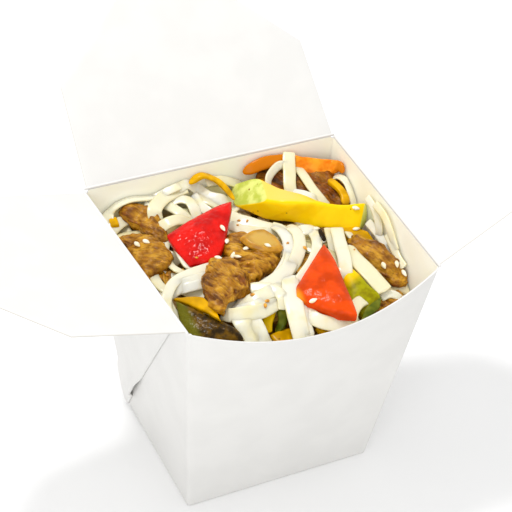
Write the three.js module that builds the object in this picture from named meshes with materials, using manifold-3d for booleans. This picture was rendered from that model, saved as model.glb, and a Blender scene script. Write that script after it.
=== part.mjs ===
// Open noodle carton: a tapered folded-board box with three hinged flaps,
// filled with a heap of ribbon noodles, beef and peppers.
// Millimetres, +Z up, -Y to the front, origin at the centre of the base's underside.
import * as THREE from 'three';
import Module from 'manifold-3d';

const wasm = await Module();
wasm.setup();

// ---------------------------------------------------------------- driving dimensions

const BOARD = 0.5; // thickness of the folded board
const GAP = 0.3; // clearance between pieces that touch
const HEIGHT = 99.5; // base to the fold line of the left flap

const BASE = { halfWidth: 36.9, back: 29.5, front: -29.5 };
const RIM = { halfBack: 50, halfFront: 46.2, back: 38.5, front: -47.7 };
const FRONT_EDGE = { bow: 7.7, dip: 7.9 }; // free front edge: bulge forward, sag in the middle

const FOLD_DROP = BOARD; // a wall stops this far under the fold line above it
const STACK_STEP = 0.6; // closed flaps lie on each other, so each fold is a step higher
const FOLD_Z = { left: HEIGHT, right: HEIGHT + STACK_STEP, back: HEIGHT + 2 * STACK_STEP };

const FLAP = { length: 68, chamferLength: 28.6, rootInset: 0.9 };
const FLAP_SHOULDER = { left: 39.3, back: 38.4, right: 40 }; // where the 45 degree corners start
const FLAP_OPEN = { left: 14.9, back: 41.9, right: 29.3 }; // degrees above the horizontal

const WEB = {
  thickness: 1.2, // two layers of board folded flat on the side wall
  bottom: 1.5,
  top: 95,
  backInset: 0.2, // the web starts this far inside the back face
  freeBottomY: 30.2, // the free fold runs from the rear bottom corner ...
  freeTopY: -40.5, // ... to the front of the rim
  ear: 4.2, // how far the pinched corner stands out to the rear
  earZ: 10.5,
  earHeight: 15,
};
const SLIT = { y: 14.6, z: 22.9, length: 27, width: 1.3, depth: 6, slope: -57.7 };

const FOOD = { depthMiddle: 11, depthSide: 17, depthFront: 12, ripple: 1.1, centreY: -6 };

// ---------------------------------------------------------------- materials

const COLOURS = {
  board: 0xf4f2ee,
  boardInside: 0xf6f3e4,
  noodle: 0xf3ecd2,
  redPepper: 0xe0281c,
  orangePepper: 0xec4a20,
  yellowPepper: 0xf2c11c,
  orange: 0xe87a1c,
  greenPepper: 0x9aa82a,
  darkGreen: 0x4c5a1a,
  olive: 0x6e5a1c,
  onion: 0xd0a052,
  paleOnion: 0xcfc8a0,
  beef: 0x9a6630,
};
const WET_ROUGHNESS = 0.35;
const BOARD_ROUGHNESS = 0.55;

const material = (colour, roughness = WET_ROUGHNESS) =>
  new THREE.MeshStandardMaterial({ color: COLOURS[colour], roughness, metalness: 0 });

// ---------------------------------------------------------------- shape helpers

const { lerp, degToRad } = THREE.MathUtils;
const signedPower = (value, power) => Math.sign(value) * Math.abs(value) ** power;

// Closed surface through a stack of equal loops, capped by a point at each end.
function closedGrid(startPole, loops, endPole) {
  const count = loops[0].length;
  const points = [startPole, ...loops.flat(), endPole];
  const last = points.length - 1;
  const index = [];
  const at = (row, k) => 1 + row * count + (k % count);
  for (let k = 0; k < count; k += 1) {
    index.push(0, at(0, k + 1), at(0, k));
    index.push(last, at(loops.length - 1, k), at(loops.length - 1, k + 1));
    for (let row = 0; row + 1 < loops.length; row += 1) {
      index.push(at(row, k), at(row, k + 1), at(row + 1, k + 1));
      index.push(at(row, k), at(row + 1, k + 1), at(row + 1, k));
    }
  }
  return outwardSolid(points.flatMap((p) => [p.x, p.y, p.z]), index);
}

// Signed volume decides which way round the triangles are written.
function outwardSolid(positions, index) {
  let volume = 0;
  const corner = (i) => new THREE.Vector3(...positions.slice(3 * i, 3 * i + 3));
  for (let t = 0; t < index.length; t += 3) {
    const [a, b, c] = [corner(index[t]), corner(index[t + 1]), corner(index[t + 2])];
    volume += a.dot(b.cross(c));
  }
  const triVerts = volume > 0 ? index : index.slice().reverse();
  const mesh = new wasm.Mesh({
    numProp: 3,
    vertProperties: Float32Array.from(positions),
    triVerts: Uint32Array.from(triVerts),
  });
  return new wasm.Manifold(mesh);
}

// The largest body that is left after cutting.
function mainBody(solid) {
  return solid.decompose().reduce((best, body) => (body.volume() > best.volume() ? body : best));
}

function meshOf(name, solid, look) {
  const { vertProperties, triVerts } = solid.getMesh();
  const geometry = new THREE.BufferGeometry();
  geometry.setAttribute('position', new THREE.BufferAttribute(vertProperties, 3));
  geometry.setIndex(new THREE.BufferAttribute(triVerts, 1));
  geometry.computeVertexNormals();
  const mesh = new THREE.Mesh(geometry, look);
  mesh.name = name;
  return mesh;
}

// ---------------------------------------------------------------- carton walls

const FRONT_STEPS = 12;
const BACK_STOPS = [0, 0.012, 0.988, 1]; // short ramps at the ends, level between them

// Stops around the carton, counter-clockwise from the front left corner.
const AROUND = [
  ...Array.from({ length: FRONT_STEPS }, (_, k) => ({ side: 'front', f: k / FRONT_STEPS })),
  ...[0, 0.5].map((f) => ({ side: 'right', f })),
  ...BACK_STOPS.slice(0, -1).map((f) => ({ side: 'back', f })),
  ...[0, 0.5].map((f) => ({ side: 'left', f })),
];

// Half widths and depths of the wall faces at a share w of the height.
function section(w, inset) {
  return {
    halfBack: lerp(BASE.halfWidth, RIM.halfBack, w) - inset,
    halfFront: lerp(BASE.halfWidth, RIM.halfFront, w) - inset,
    back: lerp(BASE.back, RIM.back, w) - inset,
    front: lerp(BASE.front, RIM.front, w) + inset,
    bow: FRONT_EDGE.bow * w ** 2,
  };
}

function wallTop({ side, f }) {
  if (side === 'front') {
    const across = 2 * f - 1;
    return lerp(FOLD_Z.left, FOLD_Z.right, f) - FOLD_DROP - FRONT_EDGE.dip * (1 - across ** 2);
  }
  if (side === 'back' && f > 0 && f < 1) return FOLD_Z.back - FOLD_DROP;
  return (side === 'left' ? FOLD_Z.left : FOLD_Z.right) - FOLD_DROP;
}

// Point on the wall at one stop, at a share w of the height, set in by inset.
function wallPoint(stop, w, inset, z) {
  const { halfBack, halfFront, back, front, bow } = section(w, inset);
  const { side, f } = stop;
  if (side === 'front') {
    const across = 2 * f - 1;
    return new THREE.Vector3(halfFront * across, front - bow * (1 - across ** 2), z);
  }
  if (side === 'right') {
    return new THREE.Vector3(lerp(halfFront, halfBack, f), lerp(front, back, f), z);
  }
  if (side === 'back') return new THREE.Vector3(lerp(halfBack, -halfBack, f), back, z);
  return new THREE.Vector3(lerp(-halfBack, -halfFront, f), lerp(back, front, f), z);
}

const WALL_ROWS = 8;
const WALL_SHARES = Array.from({ length: WALL_ROWS + 1 }, (_, k) => k / WALL_ROWS);

function wallLoops(inset, floor) {
  return WALL_SHARES.map((w) =>
    AROUND.map((stop) => wallPoint(stop, w, inset, lerp(floor, wallTop(stop), w))));
}

function shell() {
  const outer = wallLoops(0, 0);
  const inner = wallLoops(BOARD, BOARD).reverse();
  return closedGrid(new THREE.Vector3(0, 0, 0), [...outer, ...inner], new THREE.Vector3(0, 0, BOARD));
}

// Room inside the walls, which trims every piece of food that leans on the board.
function innerRoom() {
  const inset = BOARD + GAP;
  const floor = new THREE.Vector3(0, 0, inset);
  const lid = new THREE.Vector3(0, FOOD.centreY, HEIGHT - FOLD_DROP);
  return closedGrid(floor, wallLoops(inset, inset), lid);
}

// Corner web folded flat on a side wall: rows at equal heights, each a thin
// four-sided loop from the rear corner to the free fold.
function cornerWeb(mirror) {
  const rows = 9;
  const embed = 0.3; // how far the web runs into the wall behind it
  const loops = Array.from({ length: rows }, (_, k) => {
    const z = lerp(WEB.bottom, WEB.top, k / (rows - 1));
    const w = z / HEIGHT;
    const { halfBack, halfFront, back, front } = section(w, 0);
    const ear = WEB.ear * Math.max(0, 1 - ((z - WEB.earZ) / WEB.earHeight) ** 2);
    const ends = [back - WEB.backInset + ear, lerp(WEB.freeBottomY, WEB.freeTopY, w)];
    const wallX = (y) => lerp(halfFront, halfBack, (y - front) / (back - front));
    const point = (y, out) => new THREE.Vector3(mirror * (wallX(y) + out), y, z);
    const inner = -embed;
    const outer = WEB.thickness;
    return [point(ends[0], inner), point(ends[0], outer), point(ends[1], outer), point(ends[1], inner)];
  });
  const middle = (loop) => loop.reduce((sum, p) => sum.add(p), new THREE.Vector3()).divideScalar(4);
  return closedGrid(middle(loops[0]), loops, middle(loops[rows - 1]));
}

function slit(mirror) {
  const geometry = new THREE.BoxGeometry(SLIT.depth, SLIT.length, SLIT.width);
  const w = SLIT.z / HEIGHT;
  const x = lerp(BASE.halfWidth, RIM.halfBack, w);
  geometry.rotateX(degToRad(SLIT.slope));
  geometry.translate(mirror * x, SLIT.y, SLIT.z);
  return solidOfBox(geometry);
}

// A box geometry keeps 24 vertices; its 8 corners are merged by position.
function solidOfBox(geometry) {
  const source = geometry.getAttribute('position');
  const corners = new Map();
  const positions = [];
  const index = Array.from(geometry.index.array, (i) => {
    const point = [source.getX(i), source.getY(i), source.getZ(i)];
    const key = point.map((value) => value.toFixed(4)).join();
    if (!corners.has(key)) {
      corners.set(key, corners.size);
      positions.push(...point);
    }
    return corners.get(key);
  });
  return outwardSolid(positions, index);
}

function carton() {
  const sides = [1, -1];
  const webbed = sides.reduce((body, mirror) => body.add(cornerWeb(mirror)), shell());
  return sides.reduce((body, mirror) => body.subtract(slit(mirror)), webbed);
}

// ---------------------------------------------------------------- flaps

// Flat flap in its fold's own frame: X along the fold, Y away from it.
// The sides narrow by taper for each millimetre of length, up to 45 degree corners.
function flapShape(width, shoulder, taperStart, taperEnd) {
  const { length, chamferLength, rootInset } = FLAP;
  const start = (s) => rootInset + taperStart * s;
  const end = (s) => width - rootInset - taperEnd * s;
  const shape = new THREE.Shape();
  shape.moveTo(start(0), 0);
  shape.lineTo(end(0), 0);
  shape.lineTo(end(shoulder), shoulder);
  shape.lineTo(end(shoulder) - chamferLength, shoulder + chamferLength);
  shape.lineTo(end(shoulder) - chamferLength, length);
  shape.lineTo(start(shoulder) + chamferLength, length);
  shape.lineTo(start(shoulder) + chamferLength, shoulder + chamferLength);
  shape.lineTo(start(shoulder), shoulder);
  shape.closePath();
  return shape;
}

// Hangs a flap on its fold, from one rim corner to the next, opened outwards.
function flap(name, from, to, openAngle, shape) {
  const geometry = new THREE.ExtrudeGeometry(shape, { depth: BOARD, bevelEnabled: false });
  geometry.translate(0, 0, -BOARD / 2);
  const along = to.clone().sub(from).normalize();
  const up = new THREE.Vector3(0, 0, 1);
  const outward = new THREE.Vector3().crossVectors(up, along);
  const mesh = new THREE.Mesh(geometry, material('board', BOARD_ROUGHNESS));
  mesh.name = name;
  mesh.rotation.x = degToRad(openAngle);
  const fold = new THREE.Group();
  fold.quaternion.setFromRotationMatrix(new THREE.Matrix4().makeBasis(along, outward, up));
  fold.position.copy(from);
  fold.add(mesh);
  return fold;
}

function flaps() {
  const { halfBack, halfFront, back, front } = RIM;
  const corner = (x, y, z) => new THREE.Vector3(x, y, z);
  const sideWidth = Math.hypot(back - front, halfBack - halfFront);
  const skew = (halfBack - halfFront) / (back - front);
  const backTaper = 0.03;
  const leftShape = flapShape(sideWidth, FLAP_SHOULDER.left, skew, skew);
  const rightShape = flapShape(sideWidth, FLAP_SHOULDER.right, skew, skew);
  const backShape = flapShape(2 * halfBack, FLAP_SHOULDER.back, backTaper, backTaper);
  return [
    flap('flap_left', corner(-halfFront, front, FOLD_Z.left), corner(-halfBack, back, FOLD_Z.left),
      FLAP_OPEN.left, leftShape),
    flap('flap_back', corner(-halfBack, back, FOLD_Z.back), corner(halfBack, back, FOLD_Z.back),
      FLAP_OPEN.back, backShape),
    flap('flap_right', corner(halfBack, back, FOLD_Z.right), corner(halfFront, front, FOLD_Z.right),
      FLAP_OPEN.right, rightShape),
  ];
}

// ---------------------------------------------------------------- food shapes

const PILLOW_ROWS = 5;
const STRIP_ROWS = 7;
const STRIP_SIDES = 8;
const OUTLINE_TENSION = 0.25;

// Flat piece with a rounded edge: the outline shrinks to its middle over and
// under the piece, along a superellipse of the given squareness.
function pillow({ at, lean = [0, 0], outline, thickness, crown = 0, square = 0.5 }, grow = 0) {
  const centre = new THREE.Vector3(...at);
  const normal = new THREE.Vector3(-lean[0], -lean[1], 1).normalize();
  const flat = outline.map(([x, y]) => new THREE.Vector3(x, y, x * lean[0] + y * lean[1]));
  const curve = new THREE.CatmullRomCurve3(flat, true, 'catmullrom', OUTLINE_TENSION);
  const samples = outline.length < 7 ? outline.length * 2 : outline.length + 4;
  const loop = Array.from({ length: samples }, (_, k) => curve.getPoint(k / samples));
  const surface = (p, angle) => {
    const r = Math.cos(angle) ** square;
    const lift = signedPower(Math.sin(angle), square) * (thickness / 2 + grow) + crown * (1 - r * r);
    const reach = p.clone().multiplyScalar(r * (1 + grow / p.length()));
    return reach.add(centre).addScaledVector(normal, lift);
  };
  const loops = Array.from({ length: PILLOW_ROWS }, (_, k) => {
    const angle = Math.PI * (0.5 - (k + 1) / (PILLOW_ROWS + 1));
    return loop.map((p) => surface(p, angle));
  });
  const pole = (side) => centre.clone().addScaledVector(normal, side * (thickness / 2 + grow) + crown);
  return closedGrid(pole(1), loops, pole(-1));
}

// Strip along a path, with a squared oval section turned by roll about the path
// and blunt ends that shrink to a point on the path.
function strip({ path, width, thickness, roll = 0, square = 0.6, blunt = 8 }, grow = 0) {
  const curve = new THREE.CatmullRomCurve3(path.map((p) => new THREE.Vector3(...p)));
  const up = new THREE.Vector3(0, 0, 1);
  const turn = degToRad(roll);
  const loops = Array.from({ length: STRIP_ROWS }, (_, k) => {
    const v = (1 - Math.cos((Math.PI * (k + 1)) / (STRIP_ROWS + 1))) / 2;
    const tangent = curve.getTangent(v);
    const side = new THREE.Vector3().crossVectors(tangent, up).normalize();
    const top = new THREE.Vector3().crossVectors(side, tangent);
    const wide = side.clone().multiplyScalar(Math.cos(turn)).addScaledVector(top, Math.sin(turn));
    const thick = top.clone().multiplyScalar(Math.cos(turn)).addScaledVector(side, -Math.sin(turn));
    const taper = Math.sqrt(1 - Math.abs(2 * v - 1) ** blunt);
    return Array.from({ length: STRIP_SIDES }, (__, m) => {
      const angle = (2 * Math.PI * (m + 0.5)) / STRIP_SIDES;
      const across = signedPower(Math.cos(angle), square) * (taper * width / 2 + grow);
      const through = signedPower(Math.sin(angle), square) * (taper * thickness / 2 + grow);
      return curve.getPoint(v).addScaledVector(wide, across).addScaledVector(thick, through);
    });
  });
  const start = curve.getPoint(0).addScaledVector(curve.getTangent(0), -grow);
  const end = curve.getPoint(1).addScaledVector(curve.getTangent(1), grow);
  return closedGrid(start, loops, end);
}

// ---------------------------------------------------------------- the pieces of food
// Top pieces first: each later piece, and the heap, is cut clear of the ones above it.
// at is a piece's middle, lean its rise along X and Y, outline its plan about the middle.

const PIECES = [
  { name: 'red_pepper', look: 'redPepper', make: pillow, at: [-18, 4, 92], lean: [0.14, 0.14],
    outline: [[16, 12.5], [3, 11.5], [-11, 8], [-11, 0], [-9.5, -9], [0, -10.5], [6, -4.5]],
    thickness: 4, crown: 1.5, square: 0.35 },
  { name: 'orange_pepper', look: 'orangePepper', make: pillow, at: [9, -31, 90], lean: [0.08, 0.16],
    outline: [[9, 13], [8, 3], [7, -7], [4, -20], [-3, -14], [-11, -7.5], [-9, -2], [-0.5, 5]],
    thickness: 5, crown: 2, square: 0.35 },
  { name: 'yellow_pepper', look: 'yellowPepper', make: strip,
    path: [[6.5, 28, 91.5], [10.5, 20.5, 91], [15.5, 13.5, 90],
      [23, 6, 90], [32.5, 1.5, 90], [43.5, 0, 89]],
    width: 12.5, thickness: 7, roll: -48 },
  { name: 'beef_centre_front', look: 'beef', make: pillow, at: [-22, -22, 91.5], lean: [0.1, 0.07],
    outline: [[-1, 9], [3.5, 10], [7, 6], [8, -2], [5.5, -8],
      [0, -9.5], [-7, -12.5], [-7.5, -7.5], [-8, 0.5]],
    thickness: 9, square: 0.7 },
  { name: 'onion_slice', look: 'onion', make: pillow, at: [-1.5, -4.5, 93.5], lean: [-0.05, 0.1],
    outline: [[-6.5, 1], [-2.5, 3.5], [3, 2.5], [6, -3], [6, -8], [2, -9.5], [-3.5, -7], [-6, -3.5]],
    thickness: 1.6, crown: 1, square: 0.5 },
  { name: 'beef_centre_back', look: 'beef', make: pillow, at: [-6.5, -10, 89.5], lean: [0.02, 0.09],
    outline: [[-8, 7], [-3.5, 11.5], [1, 10], [3.5, 2], [9, -4.5], [6, -8.5], [-1.5, -11.5], [-6.5, -13.5]],
    thickness: 7, square: 0.7 },
  { name: 'beef_upper_left', look: 'beef', make: strip,
    path: [[-40, 33, 89], [-33, 30.5, 89], [-30.5, 24.5, 88], [-28, 15.5, 86]],
    width: 10, thickness: 7, roll: -25, square: 0.8, blunt: 4 },
  { name: 'beef_left', look: 'beef', make: pillow, at: [-37, 7, 88.5], lean: [0.2, 0.08],
    outline: [[-7, 12], [-2, 11.5], [3.5, 7.5], [6, 2.5], [7, -3], [3, -8], [-4.5, -10.5], [-5.5, -7]],
    thickness: 7, square: 0.7 },
  { name: 'beef_right', look: 'beef', make: strip,
    path: [[32, -8, 89], [35, -16, 88], [38.5, -24, 86.5], [41, -32, 84]],
    width: 8.5, thickness: 6, roll: -30, square: 0.7, blunt: 5 },
  { name: 'orange_strip', look: 'orange', make: strip,
    path: [[13, 35.5, 93], [20, 35.5, 95.5], [27.5, 34.5, 95.8],
      [34, 32.5, 95], [40, 30.5, 94], [46, 28, 93]],
    width: 5.5, thickness: 3.4, roll: -35 },
  { name: 'yellow_strip_back_left', look: 'yellowPepper', make: strip,
    path: [[-8, 34.5, 95], [-3, 35, 95.5], [0.5, 32, 93.5], [2.5, 26, 91]],
    width: 3.2, thickness: 2 },
  { name: 'yellow_strip_back_right', look: 'yellowPepper', make: strip,
    path: [[41.5, 24, 88.5], [42.5, 17.5, 88], [42, 10.5, 86]],
    width: 4.2, thickness: 2.4 },
  { name: 'yellow_pepper_front_left', look: 'yellowPepper', make: pillow,
    at: [-31.5, -23, 89], lean: [0.3, 0.1],
    outline: [[-6.5, 6.5], [-2, 4.5], [2, 1], [3.5, -6], [3, -11], [0, -4], [-3, 1]],
    thickness: 2.2, square: 0.5 },
  { name: 'olive_pepper', look: 'olive', make: pillow, at: [-33, -31, 85], lean: [0.22, 0.28],
    outline: [[-5, 13], [-2, 10], [1.5, 5], [5.5, -2], [7.5, -7],
      [7, -9.5], [-1, -6.5], [-6, -3], [-7, 3]],
    thickness: 5, crown: 1, square: 0.5 },
  { name: 'green_pepper', look: 'greenPepper', make: pillow, at: [23.5, -32, 84.5], lean: [0.11, 0.3],
    outline: [[-3.5, 5.5], [0.5, 8.5], [3, 2.5], [5.5, -4], [3, -7.5], [-2, -5.5], [-3.5, 0]],
    thickness: 3.4, crown: 1, square: 0.4 },
  { name: 'dark_green_leaf', look: 'darkGreen', make: pillow, at: [21.5, -43.5, 84.5], lean: [0, 0.3],
    outline: [[-5.5, -3], [-1.5, 0.5], [4, 2], [5.5, 2], [2, -1.5], [-3, -3.5]],
    thickness: 1.6, square: 0.6 },
  { name: 'beef_front_right', look: 'beef', make: pillow, at: [31.5, -38, 81.5], lean: [0, 0.2],
    outline: [[0, 4], [6.5, 2], [6, -2], [-3, -4], [-6, -1]],
    thickness: 5, square: 0.7 },
  { name: 'yellow_piece_right', look: 'yellowPepper', make: pillow, at: [35.5, -5, 83], lean: [0, 0.13],
    outline: [[-2, 5], [5, 3], [6.5, -3], [-2.5, -4], [-5.5, 0]],
    thickness: 4, square: 0.45 },
  { name: 'beef_back', look: 'beef', make: pillow, at: [28, 22, 86.5], lean: [0.03, 0.1],
    outline: [[-11, 13], [-3, 12.5], [6, 8.5], [13.5, 2], [14, -9], [5, -13], [-5, -8], [-11.5, 2.5]],
    thickness: 7, square: 0.7 },
  { name: 'onion_under_pepper', look: 'onion', make: pillow, at: [3, 15, 86.5], lean: [0.1, 0.2],
    outline: [[-3.5, 5.5], [1, 2], [5, -3], [1.5, -5], [-2.5, 0]],
    thickness: 3, square: 0.5 },
  { name: 'onion_back_left', look: 'paleOnion', make: pillow, at: [-3, 28.5, 89], lean: [0, 0.1],
    outline: [[-3.5, 4], [0.5, 3], [4, -3], [-2, -4]],
    thickness: 2, square: 0.5 },
  { name: 'onion_left', look: 'paleOnion', make: pillow, at: [-15.5, 27.5, 88], lean: [0.05, 0.15],
    outline: [[-3, 2.5], [2, 2], [2, -3.5], [-2, -2]],
    thickness: 2.4, square: 0.5 },
  { name: 'beef_centre_right', look: 'beef', make: strip,
    path: [[5, -20, 87], [10, -16.5, 87.5], [14.5, -12, 87]],
    width: 5, thickness: 4, square: 0.8, blunt: 4 },
  { name: 'beef_low_left', look: 'beef', make: pillow, at: [-33, -4.5, 84.5], lean: [0.07, 0.1],
    outline: [[-1, 5.5], [2.5, 2], [1.5, -4], [-4, -3]],
    thickness: 4, square: 0.7 },
  { name: 'yellow_bit_left', look: 'yellowPepper', make: pillow, at: [-42, 28.5, 83.5],
    outline: [[-2.5, 3], [2.5, 3], [2, -3], [-3, -3]],
    thickness: 3, square: 0.45 },
  { name: 'yellow_strip_front', look: 'yellowPepper', make: strip,
    path: [[-11.5, -43, 80], [-12, -37.5, 83.5], [-8, -32.5, 84.5]],
    width: 4.4, thickness: 2.4 },
  { name: 'green_strip_front', look: 'darkGreen', make: strip,
    path: [[-3.5, -32, 84], [-5.5, -38, 81.5], [-9, -43, 78.5]],
    width: 3.8, thickness: 2.4 },
  { name: 'yellow_piece_front', look: 'yellowPepper', make: pillow, at: [-7, -43.5, 76.5], lean: [0, 0.25],
    outline: [[-6, 3], [0, 4], [6, 2.5], [6, -3], [-4, -3]],
    thickness: 3, square: 0.45 },
  { name: 'yellow_piece_front_right', look: 'yellowPepper', make: pillow, at: [9, -43, 77.5], lean: [0, 0.25],
    outline: [[-6, 2], [0, 4], [7, 3], [6, -3], [-4, -3.5]],
    thickness: 3, square: 0.45 },
];

// Depth of the heap's top under the rim: least in the middle, more at the walls.
function heapTop(x, y) {
  const acrossShare = Math.min(1, (x / RIM.halfBack) ** 2);
  const alongShare = Math.min(1, ((y - FOOD.centreY) / RIM.halfBack) ** 2);
  const forward = Math.max(0, -(y - FOOD.centreY) / RIM.halfBack);
  const edge = 1 - (1 - acrossShare) * (1 - alongShare);
  const ripple = FOOD.ripple * Math.sin(x / 4.1 + y / 7) * Math.cos(y / 4.7 - x / 9);
  return HEIGHT - lerp(FOOD.depthMiddle, FOOD.depthSide, edge) - FOOD.depthFront * forward ** 2 + ripple;
}

// Noodle heap: fills the carton up to its uneven top. It is drawn a little larger
// than the carton's inside, which then trims it.
function noodleHeap() {
  const middle = new THREE.Vector3(0, FOOD.centreY, 0);
  const overlap = 1.5;
  const sides = [0, 0.4].map((w) =>
    AROUND.map((stop) => wallPoint(stop, w, -overlap, HEIGHT * w)));
  const shrink = [1, 0.86, 0.7, 0.52, 0.34, 0.16];
  const top = shrink.map((r) => AROUND.map((stop) => {
    const edge = wallPoint(stop, 1 - FOOD.depthSide / HEIGHT, -overlap, 0);
    const p = edge.sub(middle).multiplyScalar(r).add(middle);
    return p.setZ(heapTop(p.x, p.y));
  }));
  const peak = middle.clone().setZ(heapTop(middle.x, middle.y));
  return closedGrid(new THREE.Vector3(0, 0, 0), [...sides, ...top], peak);
}

function touches(a, b) {
  const [first, second] = [a.boundingBox(), b.boundingBox()];
  return [0, 1, 2].every((i) => first.min[i] < second.max[i] && second.min[i] < first.max[i]);
}

// Cuts each piece clear of the walls and of the pieces laid above it.
function food() {
  const room = innerRoom();
  const above = [];
  const meshes = PIECES.map((piece) => {
    const whole = piece.make(piece).intersect(room);
    const touching = above.filter((upper) => touches(whole, upper));
    const clear = touching.reduce((body, upper) => body.subtract(upper), whole);
    above.push(piece.make(piece, GAP));
    return meshOf(piece.name, mainBody(clear), material(piece.look));
  });
  const heap = above.reduce((body, upper) => body.subtract(upper), noodleHeap().intersect(room));
  return [meshOf('noodle_heap', mainBody(heap), material('noodle')), ...meshes];
}

// ---------------------------------------------------------------- assembly

const group = new THREE.Group();
group.add(meshOf('carton', carton(), material('boardInside', BOARD_ROUGHNESS)));
group.add(...flaps());
group.add(...food());

export default group;
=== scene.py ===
import itertools
import math
from functools import partial

import bpy
import numpy as np
from bpy.props import FloatProperty, FloatVectorProperty, IntProperty, PointerProperty
from mathutils import Matrix, Vector
from mathutils.bvhtree import BVHTree


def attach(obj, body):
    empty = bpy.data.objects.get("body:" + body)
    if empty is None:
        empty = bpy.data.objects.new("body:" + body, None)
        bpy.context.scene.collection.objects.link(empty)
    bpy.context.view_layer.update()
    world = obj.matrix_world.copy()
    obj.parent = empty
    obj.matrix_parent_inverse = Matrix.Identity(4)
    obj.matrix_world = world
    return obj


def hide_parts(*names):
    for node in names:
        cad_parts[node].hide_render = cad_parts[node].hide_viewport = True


bl_info = {
    "name": "Noodle box",
    "version": (1, 0, 0),
    "blender": (4, 5, 0),
    "location": "3D View > Sidebar > Noodle box",
    "description": "Folded board box filled with ribbon noodles, beef and peppers",
    "category": "Object",
}

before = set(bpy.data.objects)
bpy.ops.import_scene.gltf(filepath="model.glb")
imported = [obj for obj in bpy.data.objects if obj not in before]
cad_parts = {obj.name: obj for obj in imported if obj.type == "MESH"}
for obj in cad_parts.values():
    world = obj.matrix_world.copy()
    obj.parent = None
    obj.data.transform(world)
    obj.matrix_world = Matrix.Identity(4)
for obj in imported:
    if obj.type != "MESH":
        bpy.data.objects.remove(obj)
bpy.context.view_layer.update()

MM = 0.001  # lengths in the shape functions are millimetres; meshes are in metres

# ------------------------------------------------------------------ the carton's driving sizes, mm

HEIGHT = 99.5  # base to the left fold
BASE = {"half_width": 36.9, "back": 29.5, "front": -29.5}
RIM = {"half_back": 50.0, "half_front": 46.2, "back": 38.5, "front": -47.7}
FRONT_EDGE = {"bow": 7.7, "dip": 7.9}  # the free front edge bulges forward and sags
FOLD_Z = {"left": 99.5, "right": 100.1, "back": 100.7}
FOLD_DROP = 0.5  # a wall ends this far under its fold line
WALL_ROWS = 34  # loops from the floor to the rim, outside and again inside
WALL_COLUMNS = (48, 28, 40, 28)  # points along the front, right, back and left of a loop
ARC_COLUMNS = 5  # points round each corner between them
CREST = 0.12  # rise of the rounded cut edge round the rim
FOOT = 0.25  # height over which the base turns up into the walls

FLAP = {"length": 68.0, "chamfer": 28.6, "root_inset": 0.9}
FLAP_SHOULDER = {"left": 39.3, "back": 38.4, "right": 40.0}  # where the 45 degree corners start
FLAP_OPEN = {"left": 14.9, "back": 41.9, "right": 29.3}  # degrees above the horizontal
BACK_FLAP_TAPER = 0.03  # how far each side draws in for each mm of length
CUT_EDGE = np.array([0.0, 0.1, 0.3])  # the board's cut edge is rounded over in three steps

# The web is a triangle from its bottom to its top height, between the rear corner and a free
# fold that runs forward as it rises. The ear is the pinch that sticks out behind, low down.
WEB = {"thickness": 1.2, "bottom": 1.5, "top": 95.0, "free_bottom_y": 30.2, "free_top_y": -40.5}
EAR = {"length": 4.2, "z": 10.5, "half_height": 15.0}
SLIT = {"low_z": 11.0, "high_z": 36.0, "lift": 1.5}  # where the web's fold stands off the wall

# Depth of the heap's top under the left fold in the middle and at the walls, how much further it
# drops towards the front, and where its middle lies.
HEAP = {"middle": 11.0, "side": 13.5, "front": 12.0, "centre_y": -6.0}
CORE = {"drop": 5.0, "gap": 1.2, "corner": 1.5}  # the core's depth under the top, its clearances
CORE_LUMPS = [(6.0, 1.0), (2.5, 0.5)]  # layers of (size, height)

# ------------------------------------------------------------------ small helpers


def linear(code):
    """sRGB hex code to linear red, green and blue."""
    parts = [((code >> shift) & 255) / 255 for shift in (16, 8, 0)]
    return tuple(c / 12.92 if c <= 0.04045 else ((c + 0.055) / 1.055) ** 2.4 for c in parts)


def lerp(a, b, t):
    """From a to b, at a share t of the way."""
    return a + (b - a) * t


def smooth(t):
    """Smooth step from 0 to 1 for t from 0 to 1."""
    t = np.clip(t, 0.0, 1.0)
    return t * t * (3 - 2 * t)


def unit(v):
    """The same directions at length 1."""
    return v / np.maximum(np.linalg.norm(v, axis=-1, keepdims=True), 1e-9)


def signed_power(value, power):
    """Power of the value's size, with its sign kept: under 1 it squares off a sine or cosine."""
    return np.sign(value) * np.abs(value) ** power


def noise(points, size, seed=0):
    """Smooth random value from -1 to 1: random numbers on a cubic lattice of that size in mm,
    blended by a smooth step along each axis."""
    cell = np.floor(points / size).astype(np.int64)
    blend = smooth(points / size - cell)
    total = np.zeros(points.shape[:-1])
    for corner in itertools.product((0, 1), repeat=3):
        c = cell + np.array(corner)
        h = (c[..., 0] * 73856093) ^ (c[..., 1] * 19349663) ^ (c[..., 2] * 83492791)
        h = (h ^ (seed * 1013904223 + 374761393)) & 0xFFFFFFFF
        h = ((h ^ (h >> 13)) * 1274126177) & 0xFFFFFFFF
        h = (h ^ (h >> 16)) & 0xFFFF
        share = np.where(corner, blend, 1 - blend).prod(axis=-1)
        total += share * (h / 0x7FFF - 1)
    return total


# ------------------------------------------------------------------ surfaces on grids


def grid_faces(rows, columns):
    """Quads of a grid whose columns close on themselves."""
    k = np.arange(columns)
    row = np.arange(rows - 1)[:, None] * columns
    a, b = row + k, row + (k + 1) % columns
    return np.stack([a, b, b + columns, a + columns], -1).reshape(-1, 4)


def closed_skin(loops):
    """Vertices and faces of a stack of equal loops, closed at each end by a fan to the middle
    of the loop."""
    rows, columns = loops.shape[:2]
    verts = np.vstack([loops.reshape(-1, 3), loops[0].mean(0), loops[-1].mean(0)])
    quads = grid_faces(rows, columns)
    k = np.arange(columns)
    first, last = rows * columns, rows * columns + 1
    low = np.stack([np.full(columns, first), (k + 1) % columns, k], -1)
    top = (rows - 1) * columns
    high = np.stack([np.full(columns, last), top + k, top + (k + 1) % columns], -1)
    return verts, quads, np.vstack([low, high])


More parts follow.
